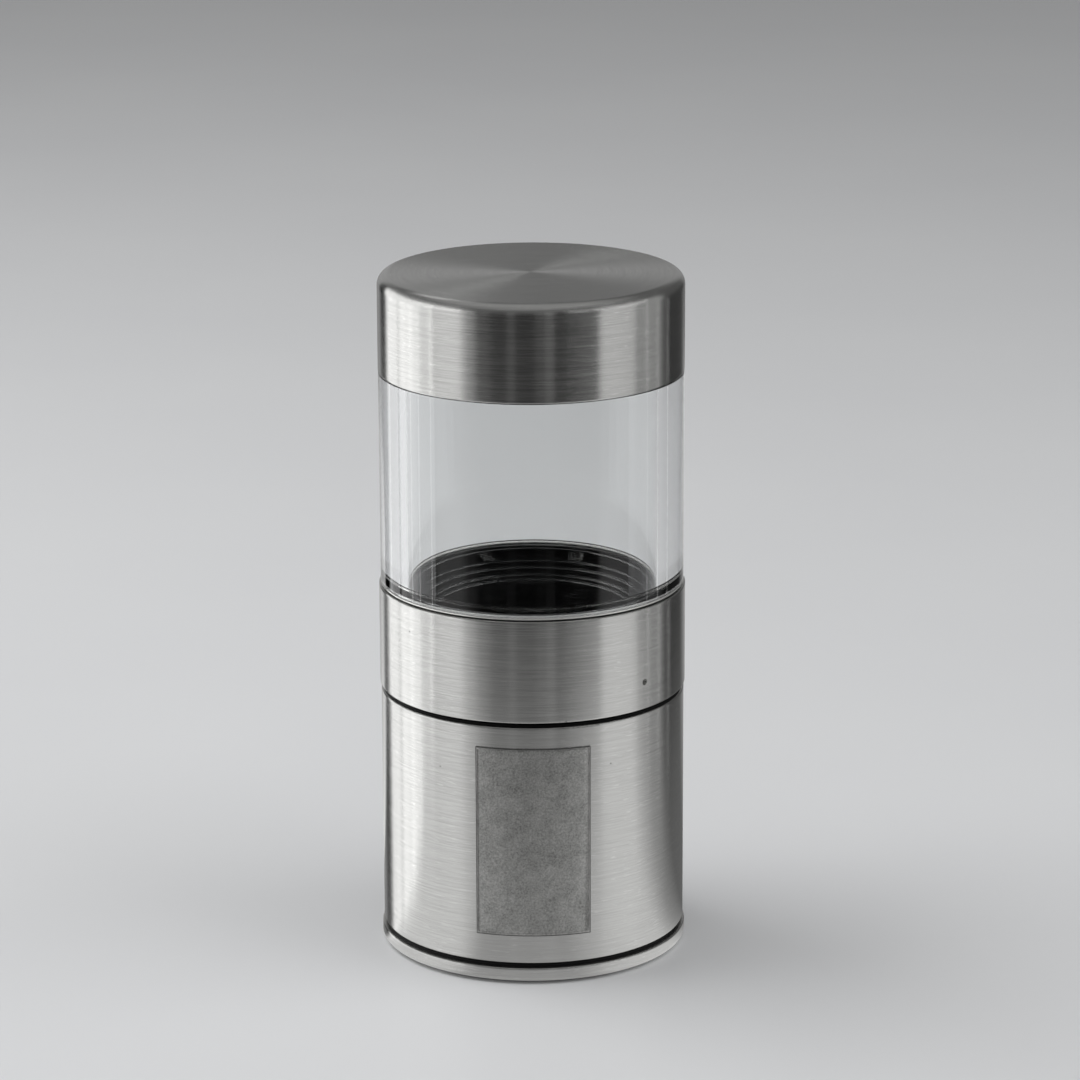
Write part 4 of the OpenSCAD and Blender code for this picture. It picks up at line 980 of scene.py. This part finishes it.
# soft panels of the studio as the steel sees them, by azimuth in degrees: low is the share of the light left
# under the table's edge, high the share left above the lid, which would glare in its flat top
studioPanels = [
    {"from": -178, "to": -153, "soft": 4, "light": 0.30},
    {"from": -138, "to": -95, "soft": 2.5, "light": 1.37, "high": 0.25},    # tall window, left and a little behind
    {"from": -95, "to": -78, "soft": 1, "light": 1.86, "low": 0.42, "high": 0.25},    # its spill
    {"from": -78, "to": -52, "soft": 5, "light": 1.77, "low": 0.40, "high": 0.25},
    {"from": -52, "to": -42, "soft": 4, "light": 0.64, "low": 0.3, "high": 0.3},
    {"from": -38, "to": -31, "soft": 2, "light": 0.10, "low": 0.2},
    {"from": -18, "to": -12, "soft": 1, "light": 0.14, "low": 0.3},
    {"from": 3, "to": 9, "soft": 1.5, "light": 0.10, "low": 0.3},
    {"from": 10, "to": 17, "soft": 1, "light": 0.24, "low": 0.3},
    {"from": 35, "to": 52, "soft": 4, "light": 0.05, "low": 0.3},
    {"from": 52, "to": 84, "soft": 3, "light": 0.58},    # right fill
    {"from": 84, "to": 115, "soft": 5, "light": 0.33},
    {"from": 115, "to": 160, "soft": 4, "light": 0.04},
    {"from": 160, "to": 182, "soft": 8, "light": 0.24},    # the wall behind
]
# window bars and lamp tubes low down, where only the upright clear wall mirrors them as sharp lines
studioBars = [
    {"at": -134, "wide": 1.2, "light": 1.2}, {"at": -118.8, "wide": 2.2, "light": -1.2},
    {"at": -113, "wide": 6, "light": 0.25}, {"at": -103, "wide": 1.1, "light": 1.6},
    {"at": -94, "wide": 0.9, "light": 1.8}, {"at": -81.6, "wide": 0.8, "light": 2.4},
    {"at": 97, "wide": 0.9, "light": 1.3}, {"at": 110, "wide": 0.8, "light": 1.2},
    {"at": 124, "wide": 1.2, "light": 1.0},
]
# heights in the studio are sines of the elevation
barBand = {"height": -0.27, "half": 0.08}
tableEdge = {"from": -0.12, "to": 0.08, "low": 0.006, "high": 0.062}    # the room's own light under and over it
windowTop = {"from": 0.10, "to": 0.26}
ceiling = {"light": 0.12, "from": 0.28, "to": 0.48, "top": 0.36, "topFrom": 0.68, "topTo": 0.9}
# lamps that only the bowl's steps mirror, weaker overhead
throughCup = {"light": 1.7, "from": 0.42, "to": 0.52, "overFrom": 0.66, "overTo": 0.8, "over": 0.25}
backdropColour = "#d6d8da"


def makeStudio():
    world = bpy.data.worlds.new("softStudio")
    bpy.context.scene.world = world
    add = emptyTree(world)
    parts = add("SeparateXYZ", links={0: add("TexCoord").outputs["Generated"]})
    up = parts.outputs["Z"]
    turn = add("Math", {"operation": "DEGREES"}, {0: azimuth(add, parts)})
    total = add("MapRange",
                {"interpolation_type": "SMOOTHSTEP", "From Min": tableEdge["from"], "From Max": tableEdge["to"],
                 "To Min": tableEdge["low"], "To Max": tableEdge["high"]}, {"Value": up})
    for panel in studioPanels:
        for shift in (0, -360) if panel["to"] > 180 else (0,):
            start, end, soft = panel["from"] + shift, panel["to"] + shift, panel["soft"]
            steps = [(turn, start - soft, start + soft, 0.0, 1.0),
                     (turn, end - soft, end + soft, panel["light"], 0.0)]
            if "low" in panel:
                steps.append((up, tableEdge["from"], tableEdge["to"], panel["low"], 1.0))
            if "high" in panel:
                steps.append((up, windowTop["from"], windowTop["to"], 1.0, panel["high"]))
            lit = None
            for source, fromMin, fromMax, before, after in steps:
                step = add("MapRange",
                           {"interpolation_type": "SMOOTHSTEP", "From Min": fromMin, "From Max": fromMax,
                            "To Min": before, "To Max": after}, {"Value": source})
                lit = step if lit is None else add("Math", {"operation": "MULTIPLY"}, {0: lit, 1: step})
            total = add("Math", {"operation": "ADD"}, {0: total, 1: lit})
    band = add("Math", {"operation": "COMPARE", 1: barBand["height"], 2: barBand["half"]}, {0: up})
    for bar in studioBars:
        near = add("Math", {"operation": "COMPARE", 1: bar["at"], 2: bar["wide"] / 2}, {0: turn})
        drawn = add("Math", {"operation": "MULTIPLY"}, {0: near, 1: band})
        total = add("Math", {"operation": "MULTIPLY_ADD", 1: bar["light"]}, {0: drawn, 2: total})
    # overhead the bands give way to a grey wall and a paler ceiling
    s = ceiling
    high = add("MapRange", {"interpolation_type": "SMOOTHSTEP", "From Min": s["from"], "From Max": s["to"]},
               {"Value": up})
    upper = add("MapRange",
                {"From Min": s["topFrom"], "From Max": s["topTo"], "To Min": s["light"], "To Max": s["top"]},
                {"Value": up})
    mixed = add("Mix", {"data_type": "FLOAT"}, {0: high, 2: total, 3: upper})
    s = throughCup
    rising = add("MapRange", {"From Min": s["from"], "From Max": s["to"], "To Max": s["light"]}, {"Value": up})
    falling = add("MapRange",
                  {"From Min": s["overFrom"], "From Max": s["overTo"], "To Min": 1.0, "To Max": s["over"]},
                  {"Value": up})
    overhead = add("Math", {"operation": "MULTIPLY"}, {0: rising, 1: falling})
    path = add("LightPath")
    plain = add("Math", {"operation": "LESS_THAN", 1: 0.5}, {0: path.outputs["Diffuse Depth"]})
    through = add("Math", {"operation": "MULTIPLY"}, {0: path.outputs["Is Transmission Ray"], 1: plain})
    strength = add("Math", {"operation": "MULTIPLY_ADD"}, {0: through, 1: overhead, 2: mixed})
    studio = add("Background", {"Color": (1, 1, 1, 1)}, {"Strength": strength})
    backdrop = add("Background", {"Color": hexToLinear(backdropColour), "Strength": 1.0})
    pick = add("MixShader", links={0: path.outputs["Is Camera Ray"], 1: studio, 2: backdrop})
    add("OutputWorld", links={"Surface": pick})


lightSettings = [
    {"name": "keySoftbox", "azimuth": -105, "elevation": 52, "distance": 0.9, "size": (0.8, 0.8), "power": 4.85},
    {"name": "fillSoftbox", "azimuth": 75, "elevation": 42, "distance": 1.0, "size": (0.8, 0.8), "power": 2.8},
    {"name": "topSoftbox", "azimuth": 20, "elevation": 75, "distance": 0.9, "size": (0.7, 0.7), "power": 1.7},
    # long strips give rounded edges thin highlights, the small lamp behind draws the bright sector on the lid
    {"name": "leftStrip", "azimuth": -97, "elevation": 22, "distance": 0.9, "size": (1.6, 0.05), "power": 0.75,
     "shines": True},
    {"name": "rightStrip", "azimuth": 62, "elevation": 24, "distance": 0.9, "size": (1.2, 0.05), "power": 0.4,
     "shines": True},
    {"name": "sectorLamp", "azimuth": -160, "elevation": 45, "distance": 0.9, "size": (0.2, 0.2), "power": 0.12,
     "shines": True},
]
lightTarget = Vector((0, 0, 0.06))


def makeLights():
    for s in lightSettings:
        turn, tilt = radians(s["azimuth"]), radians(s["elevation"])
        place = lightTarget + s["distance"] * Vector((sin(turn) * cos(tilt), -cos(turn) * cos(tilt), sin(tilt)))
        light = bpy.data.lights.new(s["name"], "AREA")
        light.shape, light.energy = "RECTANGLE", s["power"]
        light.size, light.size_y = s["size"]
        lamp = bpy.data.objects.new(s["name"], light)
        lamp.location = place
        lamp.rotation_euler = (lightTarget - place).to_track_quat("-Z", "Y").to_euler()
        lamp.visible_camera = False
        lamp.visible_glossy = s.get("shines", False)
        bpy.context.scene.collection.objects.link(lamp)


cameraSettings = {"distance": 780.56 * mm, "height": 291.59 * mm, "side": -0.09 * mm, "pitch": 15.529,
                  "yaw": 0.112, "roll": -0.218, "lens": 150.0, "sensor": 36.0, "clipStart": 0.01}


def makeCamera():
    s = cameraSettings
    data = bpy.data.cameras.new("frontCamera")
    data.lens, data.sensor_width, data.clip_start = s["lens"], s["sensor"], s["clipStart"]
    camera = bpy.data.objects.new("frontCamera", data)
    turns = ((-s["yaw"], "Z"), (90 - s["pitch"], "X"), (s["roll"], "Z"))
    yaw, pitch, roll = [Matrix.Rotation(radians(angle), 4, axis) for angle, axis in turns]
    camera.matrix_world = Matrix.Translation((s["side"], -s["distance"], s["height"])) @ (yaw @ pitch @ roll)
    bpy.context.scene.collection.objects.link(camera)
    bpy.context.scene.camera = camera


makeStage()
makeStudio()
makeLights()
makeCamera()
bpy.context.scene.view_settings.view_transform = "Standard"
print("stage, lights and camera made")

deselectAll()
